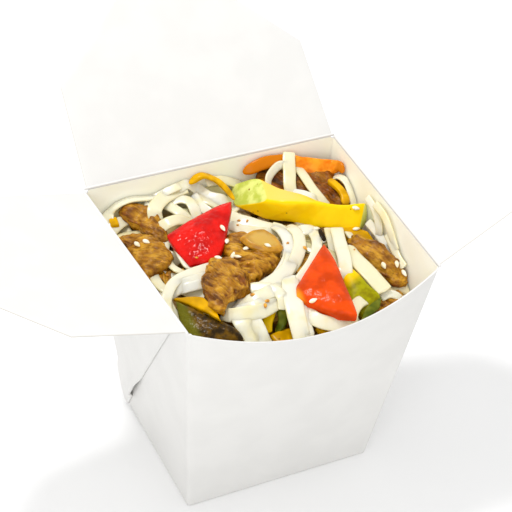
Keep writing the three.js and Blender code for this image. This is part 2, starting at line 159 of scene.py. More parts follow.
def facing_out(verts, quads, tris):
    """The same faces, turned round if the closed surface's signed volume is negative."""
    split = np.vstack([quads[:, [0, 1, 2]], quads[:, [0, 2, 3]], tris])
    a, b, c = (verts[split[:, i]] for i in range(3))
    volume = np.einsum("ij,ij->i", a, np.cross(b, c)).sum()
    if volume < 0:
        return quads[:, ::-1], tris[:, ::-1]
    return quads, tris


def loop_normals(loops):
    """Normal at each point of a grid of closed loops, from the steps to its neighbours."""
    around = np.roll(loops, -1, 1) - np.roll(loops, 1, 1)
    along = np.gradient(loops, axis=0)
    return unit(np.cross(around, along))


def cubic(a, b, ta, tb, f):
    """Cubic from a to b, with the tangents ta and tb there, at a share f of the way."""
    f2, f3 = f * f, f * f * f
    return (2 * f3 - 3 * f2 + 1) * a + (f3 - 2 * f2 + f) * ta + (3 * f2 - 2 * f3) * b + (f3 - f2) * tb


def closed_curve(points, tension, count):
    """Closed cubic curve through the points: each tangent is tension times the step between
    a point's two neighbours."""
    p = np.asarray(points, float)
    tangent = tension * (np.roll(p, -1, 0) - np.roll(p, 1, 0))
    t = np.arange(count) * len(p) / count
    i = t.astype(int)
    j = (i + 1) % len(p)
    return cubic(p[i], p[j], tangent[i], tangent[j], (t - i)[:, None])


def open_curve(points, count):
    """Open cubic curve through the points, at equal steps along its length."""
    p = np.asarray(points, float)
    tangent = np.gradient(p, axis=0)
    t = np.linspace(0, len(p) - 1, 24 * len(p))
    i = np.minimum(t.astype(int), len(p) - 2)
    fine = cubic(p[i], p[i + 1], tangent[i], tangent[i + 1], (t - i)[:, None])
    length = np.r_[0, np.cumsum(np.linalg.norm(np.diff(fine, axis=0), axis=1))]
    even = np.linspace(0, length[-1], count)
    return np.stack([np.interp(even, length, fine[:, i]) for i in range(3)], -1)


def along_grain(points, grain, stretch):
    """Points squeezed along the grain, so that a pattern drawn on them is stretched along it."""
    return points - (points @ grain)[..., None] * grain * (1 - 1 / stretch)


def relief_height(sample, layers, seed):
    """Sum of noises, one for each layer of (size, height) in mm."""
    return sum(tall * noise(sample, size, seed + n) for n, (size, tall) in enumerate(layers))


def creased_height(sample, layers, seed):
    """Sum of folded noises: each is highest where its noise is 0 and falls off as its size
    grows, which leaves narrow ridges and round hollows."""
    return sum(tall * (0.5 - 1.4 * np.abs(noise(sample, size, seed + n)))
               for n, (size, tall) in enumerate(layers))


# ------------------------------------------------------------------ pieces in the scene


def carton_sizes():
    """The carton's lengths in the settings, in metres."""
    return bpy.context.scene.noodle_box_carton


def food_sizes():
    """The food's lengths in the settings, in metres, and its random seed."""
    return bpy.context.scene.noodle_box_food


def make_piece(name, parts, materials, body="box", attributes=None):
    """One mesh object from several closed surfaces in mm. parts holds (verts, quads, tris);
    attributes holds one list for each name, with one array of point values for each part."""
    verts, quads, tris, start = [], [], [], 0
    for v, q, t in parts:
        q, t = facing_out(v, q, t)
        verts.append(v)
        quads.append(q + start)
        tris.append(t + start)
        start += len(v)
    verts, quads, tris = np.vstack(verts), np.vstack(quads), np.vstack(tris)
    mesh = bpy.data.meshes.new(name)
    mesh.vertices.add(len(verts))
    mesh.vertices.foreach_set("co", (verts * MM).astype(np.float32).ravel())
    mesh.loops.add(quads.size + tris.size)
    mesh.loops.foreach_set("vertex_index", np.r_[quads.ravel(), tris.ravel()].astype(np.int32))
    mesh.polygons.add(len(quads) + len(tris))
    starts = np.r_[np.arange(len(quads)) * 4, quads.size + np.arange(len(tris)) * 3]
    mesh.polygons.foreach_set("loop_start", starts.astype(np.int32))
    mesh.update(calc_edges=True)
    mesh.polygons.foreach_set("use_smooth", np.full(len(starts), True))
    for label, values in (attributes or {}).items():
        values = np.concatenate(values).astype(np.float32)
        if values.ndim == 2:
            layer = mesh.attributes.new(label, "FLOAT_VECTOR", "POINT")
            layer.data.foreach_set("vector", values.ravel())
        else:
            layer = mesh.attributes.new(label, "FLOAT", "POINT")
            layer.data.foreach_set("value", values)
    mesh.validate()
    piece = bpy.data.objects.new(name, mesh)
    bpy.context.scene.collection.objects.link(piece)
    for material in materials:
        mesh.materials.append(material)
    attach(piece, body)
    return piece


def sharpen(piece, degrees):
    """Edges that turn by more than this stay crisp, the rest are shaded smooth."""
    with bpy.context.temp_override(object=piece, selected_editable_objects=[piece], active_object=piece):
        bpy.ops.object.shade_smooth_by_angle(angle=math.radians(degrees))


# ------------------------------------------------------------------ materials


def add_node(tree, kind, inputs=None, **settings):
    """Adds a node. inputs maps a socket's name or number to a value, or to a socket to link."""
    node = tree.nodes.new(kind)
    for key, value in settings.items():
        setattr(node, key, value)
    for key, value in (inputs or {}).items():
        if isinstance(value, bpy.types.NodeSocket):
            tree.links.new(value, node.inputs[key])
        else:
            node.inputs[key].default_value = value
    return node


def new_material(name):
    """Empty material with its output, and a texture coordinate node for Object coordinates."""
    material = bpy.data.materials.new(name)
    material.use_nodes = True
    tree = material.node_tree
    tree.nodes.clear()
    output = tree.nodes.new("ShaderNodeOutputMaterial")
    place = tree.nodes.new("ShaderNodeTexCoord").outputs["Object"]
    return material, tree, output, place


def tint(name):
    """The colour of that name in the settings, as a socket takes it."""
    return (*getattr(bpy.context.scene.noodle_box_colours, name), 1.0)


FACTOR, COLOUR_A, COLOUR_B, COLOUR_OUT = 0, 6, 7, 2  # sockets of a Mix node set to colour


def patterned(tree, place, low, high, size_mm, detail=3.0, edges=(0.35, 0.65)):
    """Mix of two colours by a noise whose blotches are about size_mm across."""
    texture = add_node(tree, "ShaderNodeTexNoise",
                       {"Vector": place, "Scale": 1 / (size_mm * MM), "Detail": detail})
    share = add_node(tree, "ShaderNodeMapRange",
                     {"Value": texture.outputs["Fac"], "From Min": edges[0], "From Max": edges[1]},
                     interpolation_type="SMOOTHSTEP")
    mix = add_node(tree, "ShaderNodeMix",
                   {FACTOR: share.outputs["Result"], COLOUR_A: low, COLOUR_B: high}, data_type="RGBA")
    return mix.outputs[COLOUR_OUT]


def bump(tree, place, size_mm, height_mm, detail=3.0):
    """Surface normal of a fine noise relief."""
    texture = add_node(tree, "ShaderNodeTexNoise",
                       {"Vector": place, "Scale": 1 / (size_mm * MM), "Detail": detail})
    relief = add_node(tree, "ShaderNodeBump", {"Height": texture.outputs["Fac"],
                                               "Distance": height_mm * MM, "Strength": 1.0})
    return relief.outputs["Normal"]


def finish(tree, output, colour, normal=None, **values):
    """Principled shader with constant values set on its own sockets, linked to the output."""
    inputs = {"Base Color": colour}
    if normal is not None:
        inputs["Normal"] = normal
    inputs.update({key.replace("_", " ").title().replace("Ior", "IOR"): v for key, v in values.items()})
    shader = add_node(tree, "ShaderNodeBsdfPrincipled", inputs)
    tree.links.new(shader.outputs["BSDF"], output.inputs["Surface"])
    return shader


def coated_board():
    """Clay-coated folding boxboard: an even white with a soft satin sheen and faint fibres. Its
    cut edges are painted a darker grey: partly the raw pulp under the coating, partly painted
    shade that outlines the white flaps."""
    material, tree, output, place = new_material("clay_coated_board")
    coated = patterned(tree, place, tint("board"), tint("board_shade"), 14.0, detail=2.0)
    # cut edges: a darker grey that is partly raw pulp, partly painted shade outlining the flaps
    cut = add_node(tree, "ShaderNodeAttribute", attribute_name="cut").outputs["Fac"]
    colour = add_node(tree, "ShaderNodeMix",
                      {FACTOR: cut, COLOUR_A: coated, COLOUR_B: tint("board_pulp_and_edge_shade")},
                      data_type="RGBA").outputs[COLOUR_OUT]
    normal = bump(tree, place, 0.7, 0.012)  # far coarser than real fibres, so that it shows
    finish(tree, output, colour, normal, roughness=0.48, specular_ior_level=0.35)
    return material


def lined_board():
    """Inside of the board, under a thin clear lining that makes it a little smoother. Its colour is
    painted light: brighter than the outside board to make up for the dimmer light inside, and
    warm cream for the light bounced off the food.
    """
    material, tree, output, place = new_material("painted_light_board_inside")
    # painted light: the inside is brighter and warmer than the outside board, for the dim, food-warmed
    # light in the box
    colour = patterned(tree, place, tint("board_inside_lit"), tint("board_inside_lit_cloud"), 18.0, detail=2.0)
    normal = bump(tree, place, 0.7, 0.012)  # as coarse as the outside's
    finish(tree, output, colour, normal, roughness=0.36, specular_ior_level=0.4)
    return material


def noodle_dough():
    """Boiled flat wheat noodle: milky, a little translucent and wet, darker and yellower lower
    down: partly sauce stain, partly painted shade.
    """
    material, tree, output, place = new_material("boiled_wheat_noodle")
    tone = add_node(tree, "ShaderNodeAttribute", attribute_name="tone").outputs["Fac"]
    mixed = add_node(tree, "ShaderNodeMix",
                     {FACTOR: tone, COLOUR_A: tint("noodle"), COLOUR_B: tint("noodle_cream")},
                     data_type="RGBA").outputs[COLOUR_OUT]
    streaked = patterned(tree, place, mixed, tint("noodle_cream"), 7.0, detail=2.0, edges=(0.5, 0.8))
    # depth: darker, yellower colour lower in the heap, partly sauce stain and partly painted shade
    depth = add_node(tree, "ShaderNodeAttribute", attribute_name="depth").outputs["Fac"]
    sauce_and_shade = add_node(tree, "ShaderNodeMix",
                      {FACTOR: depth, COLOUR_A: streaked, COLOUR_B: tint("noodle_sauce_and_shade")},
                      data_type="RGBA").outputs[COLOUR_OUT]
    normal = bump(tree, place, 1.1, 0.05)
    shader = finish(tree, output, sauce_and_shade, normal, roughness=0.22, specular_ior_level=0.5)
    shader.inputs["Subsurface Weight"].default_value = 0.35
    shader.inputs["Subsurface Radius"].default_value = (1.0, 0.85, 0.6)
    shader.inputs["Subsurface Scale"].default_value = 3.0 * MM
    return material


def heap_shadow():
    """The heap's inside, dark and dull between the noodles: painted shade for the gaps, partly
    brown sauce.
    """
    material, tree, output, place = new_material("sauce_and_shade_noodle_core")
    # painted shade: the core's dark brown stands in for the shade in the gaps, partly sauce
    colour = patterned(tree, place, tint("heap_dark"), tint("heap_sauce_and_shade"), 5.0)
    normal = bump(tree, place, 1.5, 0.4)
    finish(tree, output, colour, normal, roughness=0.5, specular_ior_level=0.1)
    return material


def pepper_skin(name, bright, deep, blotch_mm=6.0, fleck=None, ends=None, face=None,
                fades=(), gloss=0.1, roughness=0.2, dimple_mm=0.12):
    """Cooked sweet pepper skin: waxy, saturated, with a clear wet gloss over shallow dimples.
    fleck adds dark specks of ground pepper, ends gives the two tints of the cut ends, face the
    tint of the upper flesh side, fades holds (colour, start, end) for tints along the piece."""
    material, tree, output, place = new_material(name)
    colour = patterned(tree, place, tint(bright), tint(deep), blotch_mm, detail=2.0)
    layers = []
    for over, start, end in fades:
        along = add_node(tree, "ShaderNodeAttribute", attribute_name="along").outputs["Fac"]
        share = add_node(tree, "ShaderNodeMapRange", {"Value": along, "From Min": start, "From Max": end},
                         interpolation_type="SMOOTHSTEP").outputs["Result"]
        layers.append((share, tint(over)))
    if face is not None:
        around = add_node(tree, "ShaderNodeAttribute", attribute_name="face").outputs["Fac"]
        layers.append((around, tint(face)))
    if ends is not None:
        end = add_node(tree, "ShaderNodeAttribute", attribute_name="end").outputs["Fac"]
        layers.append((end, patterned(tree, place, *map(tint, ends), 3.5, detail=4.0)))
    if fleck is not None:
        speck = add_node(tree, "ShaderNodeTexVoronoi", {"Vector": place, "Scale": 1 / (4.4 * MM)})
        near = add_node(tree, "ShaderNodeMapRange",
                        {"Value": speck.outputs["Distance"], "From Min": 0.12, "From Max": 0.06})
        layers.append((near.outputs["Result"], tint(fleck)))
    for share, over in layers:
        colour = add_node(tree, "ShaderNodeMix", {FACTOR: share, COLOUR_A: colour, COLOUR_B: over},
                          data_type="RGBA").outputs[COLOUR_OUT]
    normal = bump(tree, place, 2.4, dimple_mm, detail=2.0)
    finish(tree, output, colour, normal, roughness=roughness, specular_ior_level=gloss)
    return material


def fried_beef(name, lit_ridge, ridge_highlight, shaded_hollow, shaded_hollow_red):
    """Fried beef in a thin brown glaze with drawn-out fibres: a painted highlight on the ridges
    and painted shade in the creases between them.
    """
    material, tree, output, place = new_material(name)
    fibre = add_node(tree, "ShaderNodeAttribute", attribute_name="fibre").outputs["Vector"]
    high = patterned(tree, place, tint(lit_ridge), tint(ridge_highlight), 4.0, detail=3.0)
    low = patterned(tree, place, tint(shaded_hollow), tint(shaded_hollow_red), 4.0, detail=2.0)
    # painted highlight on the ridges, painted shade in the creases
    height = add_node(tree, "ShaderNodeAttribute", attribute_name="lit_ridge").outputs["Fac"]
    lit_and_shaded = add_node(tree, "ShaderNodeMix", {FACTOR: height, COLOUR_A: low, COLOUR_B: high},
                      data_type="RGBA").outputs[COLOUR_OUT]
    fine = patterned(tree, fibre, lit_and_shaded, tint(shaded_hollow), 0.6, detail=5.0, edges=(0.45, 0.85))
    normal = bump(tree, fibre, 0.8, 0.6, detail=5.0)
    finish(tree, output, fine, normal, roughness=0.24, specular_ior_level=0.2)
    return material


def onion_flesh(name, bright, deep, clear):
    """Softened onion: translucent, clearer towards the middle, with a wet shine."""
    material, tree, output, place = new_material(name)
    rim = patterned(tree, place, tint(bright), tint(deep), 3.0, detail=3.0)
    inner = add_node(tree, "ShaderNodeAttribute", attribute_name="inner").outputs["Fac"]
    share = add_node(tree, "ShaderNodeMapRange", {"Value": inner, "From Min": 0.08, "From Max": 0.6},
                     interpolation_type="SMOOTHSTEP").outputs["Result"]
    colour = add_node(tree, "ShaderNodeMix", {FACTOR: share, COLOUR_A: rim, COLOUR_B: tint(clear)},
                      data_type="RGBA").outputs[COLOUR_OUT]
    normal = bump(tree, place, 1.4, 0.1)
    shader = finish(tree, output, colour, normal, roughness=0.22, specular_ior_level=0.3)
    shader.inputs["Subsurface Weight"].default_value = 0.4
    shader.inputs["Subsurface Radius"].default_value = (1.0, 0.6, 0.25)
    shader.inputs["Subsurface Scale"].default_value = 2.0 * MM
    return material


def seed_hull():
    """Hulled sesame: smooth ivory."""
    material, tree, output, place = new_material("hulled_sesame")
    colour = patterned(tree, place, tint("sesame"), tint("sesame_shade"), 1.2)
    finish(tree, output, colour, roughness=0.4)
    return material


def ground_spice():
    """Crumbs of fried spice and pepper: small, rough and brown-orange."""
    material, tree, output, place = new_material("fried_spice_crumb")
    colour = patterned(tree, place, tint("crumb"), tint("crumb_dark"), 1.0)
    finish(tree, output, colour, roughness=0.55)
    return material


def studio_floor():
    """Matt white paper sweep."""
    material, tree, output, place = new_material("white_paper_floor")
    colour = patterned(tree, place, tint("floor"), tint("floor_shade"), 90.0, detail=1.0)
    finish(tree, output, colour, roughness=0.9, specular_ior_level=0.1)
    return material


# Each finish's material: the function that makes it, then its name and its colours' names.
MATERIALS = {
    "board": coated_board,
    "board_inside_lit": lined_board,
    "noodle": noodle_dough,
    "heap": heap_shadow,
    "red_pepper": partial(pepper_skin, "red_pepper_skin", "red", "red_deep",
                          gloss=0.16, roughness=0.13, dimple_mm=0.65),
    "orange_pepper": partial(pepper_skin, "orange_red_pepper_skin", "orange_red", "orange_red_deep",
                             fades=[("orange", 0.12, 0.0)], dimple_mm=0.35),
    "yellow_pepper": partial(pepper_skin, "yellow_pepper_skin", "yellow", "yellow_deep", fleck="fleck"),
    "cut_yellow_pepper": partial(pepper_skin, "yellow_pepper_chunk", "yellow", "yellow_deep",
                                 fleck="fleck", ends=("lime", "lime_deep"), face="yellow_flesh"),
    # painted shade: a darker copy of the yellow pepper for pieces that lie in shade
    "shaded_yellow_pepper": partial(pepper_skin, "shaded_yellow_pepper_skin", "yellow_shaded", "yellow_shaded_deep", fleck="fleck"),
    "orange": partial(pepper_skin, "fried_orange_pepper", "orange", "orange_deep", blotch_mm=3.5,
                      fades=[("orange_brown", 0.5, 0.4), ("orange_brown", 0.88, 0.93)]),
    "green_pepper": partial(pepper_skin, "green_pepper_skin", "green", "green_deep", blotch_mm=3.0,
                            fades=[("yellow_deep", 0.5, 0.2)], gloss=0.06, roughness=0.35),
    "dark_green": partial(pepper_skin, "dark_green_leaf_skin", "dark_green", "dark_green_deep"),
    "charred": partial(pepper_skin, "charred_pepper_skin", "olive_dark", "char", blotch_mm=2.0),
    "olive": partial(pepper_skin, "browned_green_pepper", "olive_brown", "olive_dark", blotch_mm=3.0,
                     fleck="char", fades=[("olive_green", 0.3, 0.15)],
                     gloss=0.12, roughness=0.25, dimple_mm=0.6),
    "onion": partial(onion_flesh, "golden_fried_onion", "onion", "onion_deep", "onion_clear"),
    "pale_onion": partial(onion_flesh, "pale_soft_onion", "pale_onion", "pale_onion_deep", "pale_onion"),
    # beef: its ridges take a painted highlight, its creases painted shade
    "beef": partial(fried_beef, "glazed_fried_beef", "beef", "beef_ridge_highlight", "beef_crease_shade", "beef_red"),
    # painted shade: the back beef is the beef one step darker, for the shade it lies in
    "shaded_beef": partial(fried_beef, "painted_shade_beef", "beef_red", "beef", "beef_deep_shade", "beef_crease_shade"),
    "sesame": seed_hull,
    "crumb": ground_spice,
    "floor": studio_floor,
}
_made = {}


def material_of(name):
    """The material of that name, made once."""
    if name not in _made:
        _made[name] = MATERIALS[name]()
    return _made[name]


# ------------------------------------------------------------------ the carton


def section(w, inset):
    """Half widths at the back and the front, the back and front planes, and the front's bow,
    at a share w of the height. Each is straight between base and rim; the bow grows as w squared."""
    half_back = lerp(BASE["half_width"], RIM["half_back"], w) - inset
    half_front = lerp(BASE["half_width"], RIM["half_front"], w) - inset
    back = lerp(BASE["back"], RIM["back"], w) - inset
    front = lerp(BASE["front"], RIM["front"], w) + inset
    return half_back, half_front, back, front, FRONT_EDGE["bow"] * w**2


def wall_ring(w, inset, radius):
    """One loop round the walls at a share w of the height: front, right, back and left in turn,
    with each corner rounded by a quadratic curve whose middle point is the corner. The front
    bulges as a parabola. Returns points (x, y) and, for each, the number of its side, with a
    half for the corner after it, and the share along that side."""
    half_back, half_front, back, front, bow = section(w, inset)
    corners = np.array([[-half_front, front], [half_front, front], [half_back, back], [-half_back, back]])
    points, side, share = [], [], []
    for n, count in enumerate(WALL_COLUMNS):
        a, b = corners[n], corners[(n + 1) % 4]
        along = unit(b - a)
        length = np.linalg.norm(b - a)
        f = np.linspace(radius / length, 1 - radius / length, count)
        line = a + along * (f * length)[:, None]
        if n == 0:
            across = 2 * f - 1
            line[:, 1] -= bow * (1 - across**2)
        points.append(line)
        side.append(np.full(count, n))
        share.append(f)
        c = corners[(n + 2) % 4]
        onward = unit(c - b)
        start, end = line[-1], b + onward * radius
        t = np.linspace(0, 1, ARC_COLUMNS + 2)[1:-1, None]
        points.append((1 - t) ** 2 * start + 2 * t * (1 - t) * b + t**2 * end)
        side.append(np.full(ARC_COLUMNS, n + 0.5))
        share.append(np.full(ARC_COLUMNS, 1.0))
    return np.vstack(points), np.concatenate(side), np.concatenate(share)


def rim_height(side, share):
    """Height of the walls' top edge: level at the sides and back, sloping along the front from
    the left side's height to the right side's, and sagging there as a parabola."""
    at_right = (side >= 0.5) & (side <= 1.5)
    level = np.where(at_right, FOLD_Z["right"], FOLD_Z["left"])
    level = np.where(side == 2, FOLD_Z["back"], level)
    level = np.where(side == 0, lerp(FOLD_Z["left"], FOLD_Z["right"], share), level)
    sag = np.where(side == 0, FRONT_EDGE["dip"] * (1 - (2 * share - 1) ** 2), 0.0)
    return level - FOLD_DROP - sag


def wall_loops(inset, floor_z, radius):
    """Loops from the floor to the rim, at equal shares of the height."""
    loops = []
    for w in np.linspace(0, 1, WALL_ROWS):
        ring, side, share = wall_ring(w, inset, radius)
        z = lerp(floor_z, rim_height(side, share), w)
        loops.append(np.column_stack([ring, z]))
    return np.array(loops)


def carton_walls():
    """Outside from base to rim, a rounded cut edge, and the inside back down to the floor."""
    board = carton_sizes().board / MM
    radius = carton_sizes().corner_radius / MM
    outer = wall_loops(0.0, 0.0, radius)
    inner = wall_loops(board, board, max(radius - board, 0.2))[::-1]
    sole = lerp(outer[:1], outer[:1].mean(axis=1, keepdims=True), 0.02)  # drawn in a little
    top = (outer[-1:] + inner[:1]) / 2
    top[..., 2] += CREST
    loops = np.concatenate([sole, outer[:1] + [0, 0, FOOT], outer[1:], top, inner])
    # the inside faces take the board's painted-light copy, brighter and warmer than the outside
    piece = make_piece("carton_walls", [closed_skin(loops)],
                       [material_of("board"), material_of("board_inside_lit")])
    inside = np.r_[np.zeros(len(outer) + 2), np.ones(len(inner))]
    columns = loops.shape[1]
    quads = np.repeat(inside[1:] * inside[:-1], columns)
    index = np.r_[quads, np.zeros(columns), np.ones(columns)].astype(np.int32)
    piece.data.polygons.foreach_set("material_index", index)
    piece.data.update()
    sharpen(piece, 50)
    return piece


def corner_web(mirror):
    """Triangular web folded flat on a side wall: rows at equal heights, each a thin loop from
    the rear corner to the free fold, rounded as the square root of 1 - |2t - 1|^24. Low down its
    rear edge is pinched into an ear. In the last 0.45 of its width the fold stands off the wall,
    which leaves a slit that opens within 5 mm at its foot and closes within 8 mm at its head."""
    rows, per_side = 60, 22
    inlet, sink = 0.2, 0.25  # mm that it starts inside the corner and lies in the wall
    z = np.linspace(WEB["bottom"], WEB["top"], rows)[:, None]
    w = z / HEIGHT
    half_back, half_front, back, front, _ = section(w, 0.0)
    pinch = np.clip(1 - ((z - EAR["z"]) / EAR["half_height"]) ** 2, 0, None)
    ear = EAR["length"] * smooth(pinch)
    rear = back - inlet + ear
    fold = lerp(WEB["free_bottom_y"], WEB["free_top_y"], w)
    t = (1 - np.cos(np.linspace(0, math.pi, per_side)))[None, :] / 2
    y = lerp(rear, fold, t)
    wall_x = lerp(half_front, half_back, (y - front) / (back - front))
    near_fold = smooth((t - 0.55) / 0.45)
    in_slit = smooth((z - SLIT["low_z"]) / 5) * smooth((SLIT["high_z"] - z) / 8)
    lift = SLIT["lift"] * near_fold * in_slit
    half = WEB["thickness"] / 2 * np.sqrt(np.clip(1 - np.abs(2 * t - 1) ** 24, 0, 1))
    middle = wall_x + WEB["thickness"] / 2 - sink * (1 - in_slit * near_fold) + lift
    outer = np.stack([mirror * (middle + half), y, z + 0 * y], -1)
    inner = np.stack([mirror * (middle - half), y, z + 0 * y], -1)[:, ::-1][:, 1:-1]
    return closed_skin(np.concatenate([outer, inner], axis=1))


# ------------------------------------------------------------------ flaps


def flap_frame(side):
    """Fold line's start, the direction along it, the outward direction, the width and the
    taper of the flap's sides."""
    front_right, back_right = (RIM["half_front"], RIM["front"]), (RIM["half_back"], RIM["back"])
    front_left, back_left = (-front_right[0], front_right[1]), (-back_right[0], back_right[1])
    folds = {"left": (front_left, back_left), "back": (back_left, back_right),
             "right": (back_right, front_right)}
    start, end = (np.array([*corner, FOLD_Z[side]]) for corner in folds[side])
    along = unit(end - start)
    outward = np.cross([0, 0, 1], along)
    skew = (RIM["half_back"] - RIM["half_front"]) / (RIM["back"] - RIM["front"])
    taper = BACK_FLAP_TAPER if side == "back" else skew
    return start, along, outward, np.linalg.norm(end - start), taper


def flap_surfaces(side):
    """Flat board from the fold to its outer end, and a round bead along the fold. Each side of
    the board draws in by the taper for each mm up to the shoulder, then by 1 mm for each mm. A
    row of the grid runs across the board, over its edge and back underneath. Its thickness
    falls to nothing at the edges as a quarter circle. Returns both surfaces and, for their
    points, how far each belongs to a cut edge."""
    start, along, outward, width, taper = flap_frame(side)
    board = carton_sizes().board / MM
    shoulder, length = FLAP_SHOULDER[side], FLAP["length"]
    to_shoulder, beyond, across = 14, 12, 26  # rows and columns of the board
    s = np.r_[np.linspace(0, shoulder, to_shoulder), np.linspace(shoulder, length, beyond)[1:]]
    s = np.r_[CUT_EDGE, s[1:-1], length - CUT_EDGE[::-1]]
    thin = np.sqrt(1 - (1 - np.r_[0.0, 0.6, 1.0]) ** 2)
    depth = np.r_[thin, np.ones(len(s) - 6), thin[::-1]] * board / 2
    chamfer = np.clip(s - shoulder, 0, FLAP["chamfer"])
    low = FLAP["root_inset"] + taper * np.minimum(s, shoulder) + chamfer
    high = width - FLAP["root_inset"] - taper * np.minimum(s, shoulder) - chamfer
    side_edge = CUT_EDGE / width
    t = np.r_[side_edge, np.linspace(0, 1, across)[1:-1], 1 - side_edge[::-1]]
    columns = len(t)
    x = lerp(low[:, None], high[:, None], t[None, :])
    round_edge = np.ones(columns)
    round_edge[[0, 1, -2, -1]] = 0.35, 0.8, 0.8, 0.35
    z = depth[:, None] * round_edge[None, :]
    # marks the cut edges, which get the darker grey: partly pulp, partly painted shade
    cut = np.zeros(x.shape)
    cut[:, [0, 1, -2, -1]] = 1.0
    cut[-2:] = 1.0
    cut = np.concatenate([cut, cut[:, ::-1]], axis=1).ravel()
    y = s[:, None] + 0 * x
    top = np.stack([x, y, z], -1)
    bottom = np.stack([x, y, -z], -1)[:, ::-1]
    loops = np.concatenate([top, bottom], axis=1)
    angle = math.radians(FLAP_OPEN[side])
    up = np.array([0.0, 0.0, 1.0])
    axis_y = outward * math.cos(angle) + up * math.sin(angle)
    axis_z = np.cross(along, axis_y)
    world = start + loops[..., :1] * along + loops[..., 1:2] * axis_y + loops[..., 2:] * axis_z
    bead_radius = carton_sizes().fold_bead / MM
    turn = np.linspace(0, 2 * math.pi, 12, endpoint=False)
    ring = np.cos(turn)[:, None] * outward + np.sin(turn)[:, None] * up
    ends = np.array([0.05, 0.35, 1.0, width - 1.0, width - 0.35, width - 0.05])
    swell = np.array([0.5, 0.9, 1.0, 1.0, 0.9, 0.5]) * bead_radius
    bead = start + ends[:, None, None] * along + swell[:, None, None] * ring[None]
    surfaces = [closed_skin(world), closed_skin(bead)]
    return surfaces, [np.r_[cut, 0.0, 1.0], np.zeros(len(surfaces[1][0]))]


# ------------------------------------------------------------------ food shapes

WALL_GAP = 0.75  # how far inside the walls all food stays, mm


def keep_inside(points):
    """Points that would pass through a wall are moved straight back to just inside it."""
    margin = carton_sizes().board / MM + WALL_GAP
    x, y, z = np.moveaxis(points, -1, 0)
    w = np.clip(z / HEIGHT, 0, 1)
    half_back, half_front, back, front, bow = section(w, margin)
    y = np.minimum(y, back)
    half = lerp(half_front, half_back, np.clip((y - front) / (back - front), 0, 1))
    x = np.clip(x, -half, half)
    across = x / half_front
    y = np.maximum(y, front - bow * np.clip(1 - across**2, 0, 1))
    return np.stack([x, y, np.maximum(z, margin)], -1)


PILLOW_COLUMNS, PILLOW_FACE_ROWS, PILLOW_EDGE_ROWS = 132, 30, 15
STRIP_ROWS, STRIP_COLUMNS = 110, 48
FINE_STEPS = 400  # steps along a strip's path when its length is measured


def pillow(at, outline, thickness, lean=(0, 0), crown=0.0, square=0.5, tension=0.25, ring=0.0,
           fade_way=(1, 0), **_):
    """Flat piece with a rounded edge. Its loops are the outline, shrunk by r and lifted by
    half the thickness times sine^square, where r is cosine^square of the same angle, plus
    crown times (1 - r squared), plus a ring as high as the bell curve of (r - 0.82) / 0.12.
    Returns the loops and, for each point, how far in it lies and how far along fade_way."""
    centre = np.asarray(at, float)
    normal = unit(np.array([-lean[0], -lean[1], 1.0]))
    flat = np.array([[x, y, x * lean[0] + y * lean[1]] for x, y in outline])
    loop = closed_curve(flat, tension, PILLOW_COLUMNS)
    face = np.arccos(np.linspace(0.02, 0.94, PILLOW_FACE_ROWS) ** (1 / square))
    rim = np.linspace(face[-1], -face[-1], PILLOW_EDGE_ROWS)[1:-1]
    angle = np.r_[face, rim, -face[::-1]]
    r = np.cos(angle) ** square
    lift = signed_power(np.sin(angle), square) * thickness / 2 + crown * (1 - r**2)
    lift = lift + ring * np.exp(-(((r - 0.82) / 0.12) ** 2))
    loops = centre + loop[None] * r[:, None, None] + normal * lift[:, None, None]
    way = loops[..., 0] * fade_way[0] + loops[..., 1] * fade_way[1]
    along = (way - way.min()) / (way.max() - way.min())
    return loops, {"inner": 1 - r[:, None] + 0 * way, "along": along}


def strip(path, width, thickness, roll=(0,), square=0.6, blunt=8, cut=((0, 0), (0, 0)), **_):
    """Strip along a path: a squared oval section whose width, thickness and turn about the path
    pass through the values given, at equal steps, and whose size falls to nothing at both ends
    as the square root of 1 - |2v - 1|^blunt. cut slants each end: how far it moves along the
    path for each mm across the section and through it. Returns the loops and three values for
    each point. face is the flesh: one side of the section, where its angle's cosine is under
    -0.78 to -0.92, fading out at 0.42 to 0.62 of the length. end is the cut ends, where the size
    is under 0.975 to 0.945. along is the share of the length."""
    v = (1 - np.cos(np.linspace(0, math.pi, STRIP_ROWS + 2)[1:-1]))[:, None] / 2
    angle = 2 * math.pi * (np.arange(STRIP_COLUMNS)[None] + 0.5) / STRIP_COLUMNS

    def along(values, u):
        return np.interp(u, np.linspace(0, 1, len(values)), values)

    across = signed_power(np.cos(angle), square) * along(width, v) / 2
    through = signed_power(np.sin(angle), square) * along(thickness, v) / 2
    fine = open_curve(path, FINE_STEPS)
    length = np.linalg.norm(np.diff(fine, axis=0), axis=1).sum()
    size = np.sqrt(1 - np.abs(2 * v - 1) ** blunt)
    slant = [size * (across * a + through * b) / length for a, b in cut]
    start, end = slant[0] - slant[0].min(), 1 + slant[1] - slant[1].max()
    u = start + v * (end - start)
    steps = np.linspace(0, 1, FINE_STEPS)
    line = np.stack([np.interp(u, steps, c) for c in fine.T], -1)
    tangent = unit(np.stack([np.interp(u, steps, g) for g in np.gradient(fine, axis=0).T], -1))
    side = unit(np.cross(tangent, [0, 0, 1]))
    top = np.cross(side, tangent)
    turn = np.radians(along(roll, u))[..., None]
    wide = side * np.cos(turn) + top * np.sin(turn)
    thick = top * np.cos(turn) - side * np.sin(turn)
    loops = line + (across * size)[..., None] * wide + (through * size)[..., None] * thick
    flesh = smooth((-np.cos(angle) - 0.78) / 0.14) * smooth((0.62 - u) / 0.2)
    ends = smooth((0.975 - size) / 0.03) + 0 * angle
    return loops, {"face": flesh, "end": ends, "along": u}


# Relief as layers of (size, height) in mm.
BEEF_LUMPS = [(7.0, 1.2), (3.5, 0.8)]
BEEF_FIBRES = [(2.2, 0.3), (1.1, 0.4), (0.6, 0.25)]
BEEF_CREASES = [(5.5, 1.1), (2.4, 0.5)]
PEPPER_RELIEF = [(9.0, 0.5), (3.5, 0.14)]
FIBRE_STRETCH = 4.5  # a fibre's length for its width

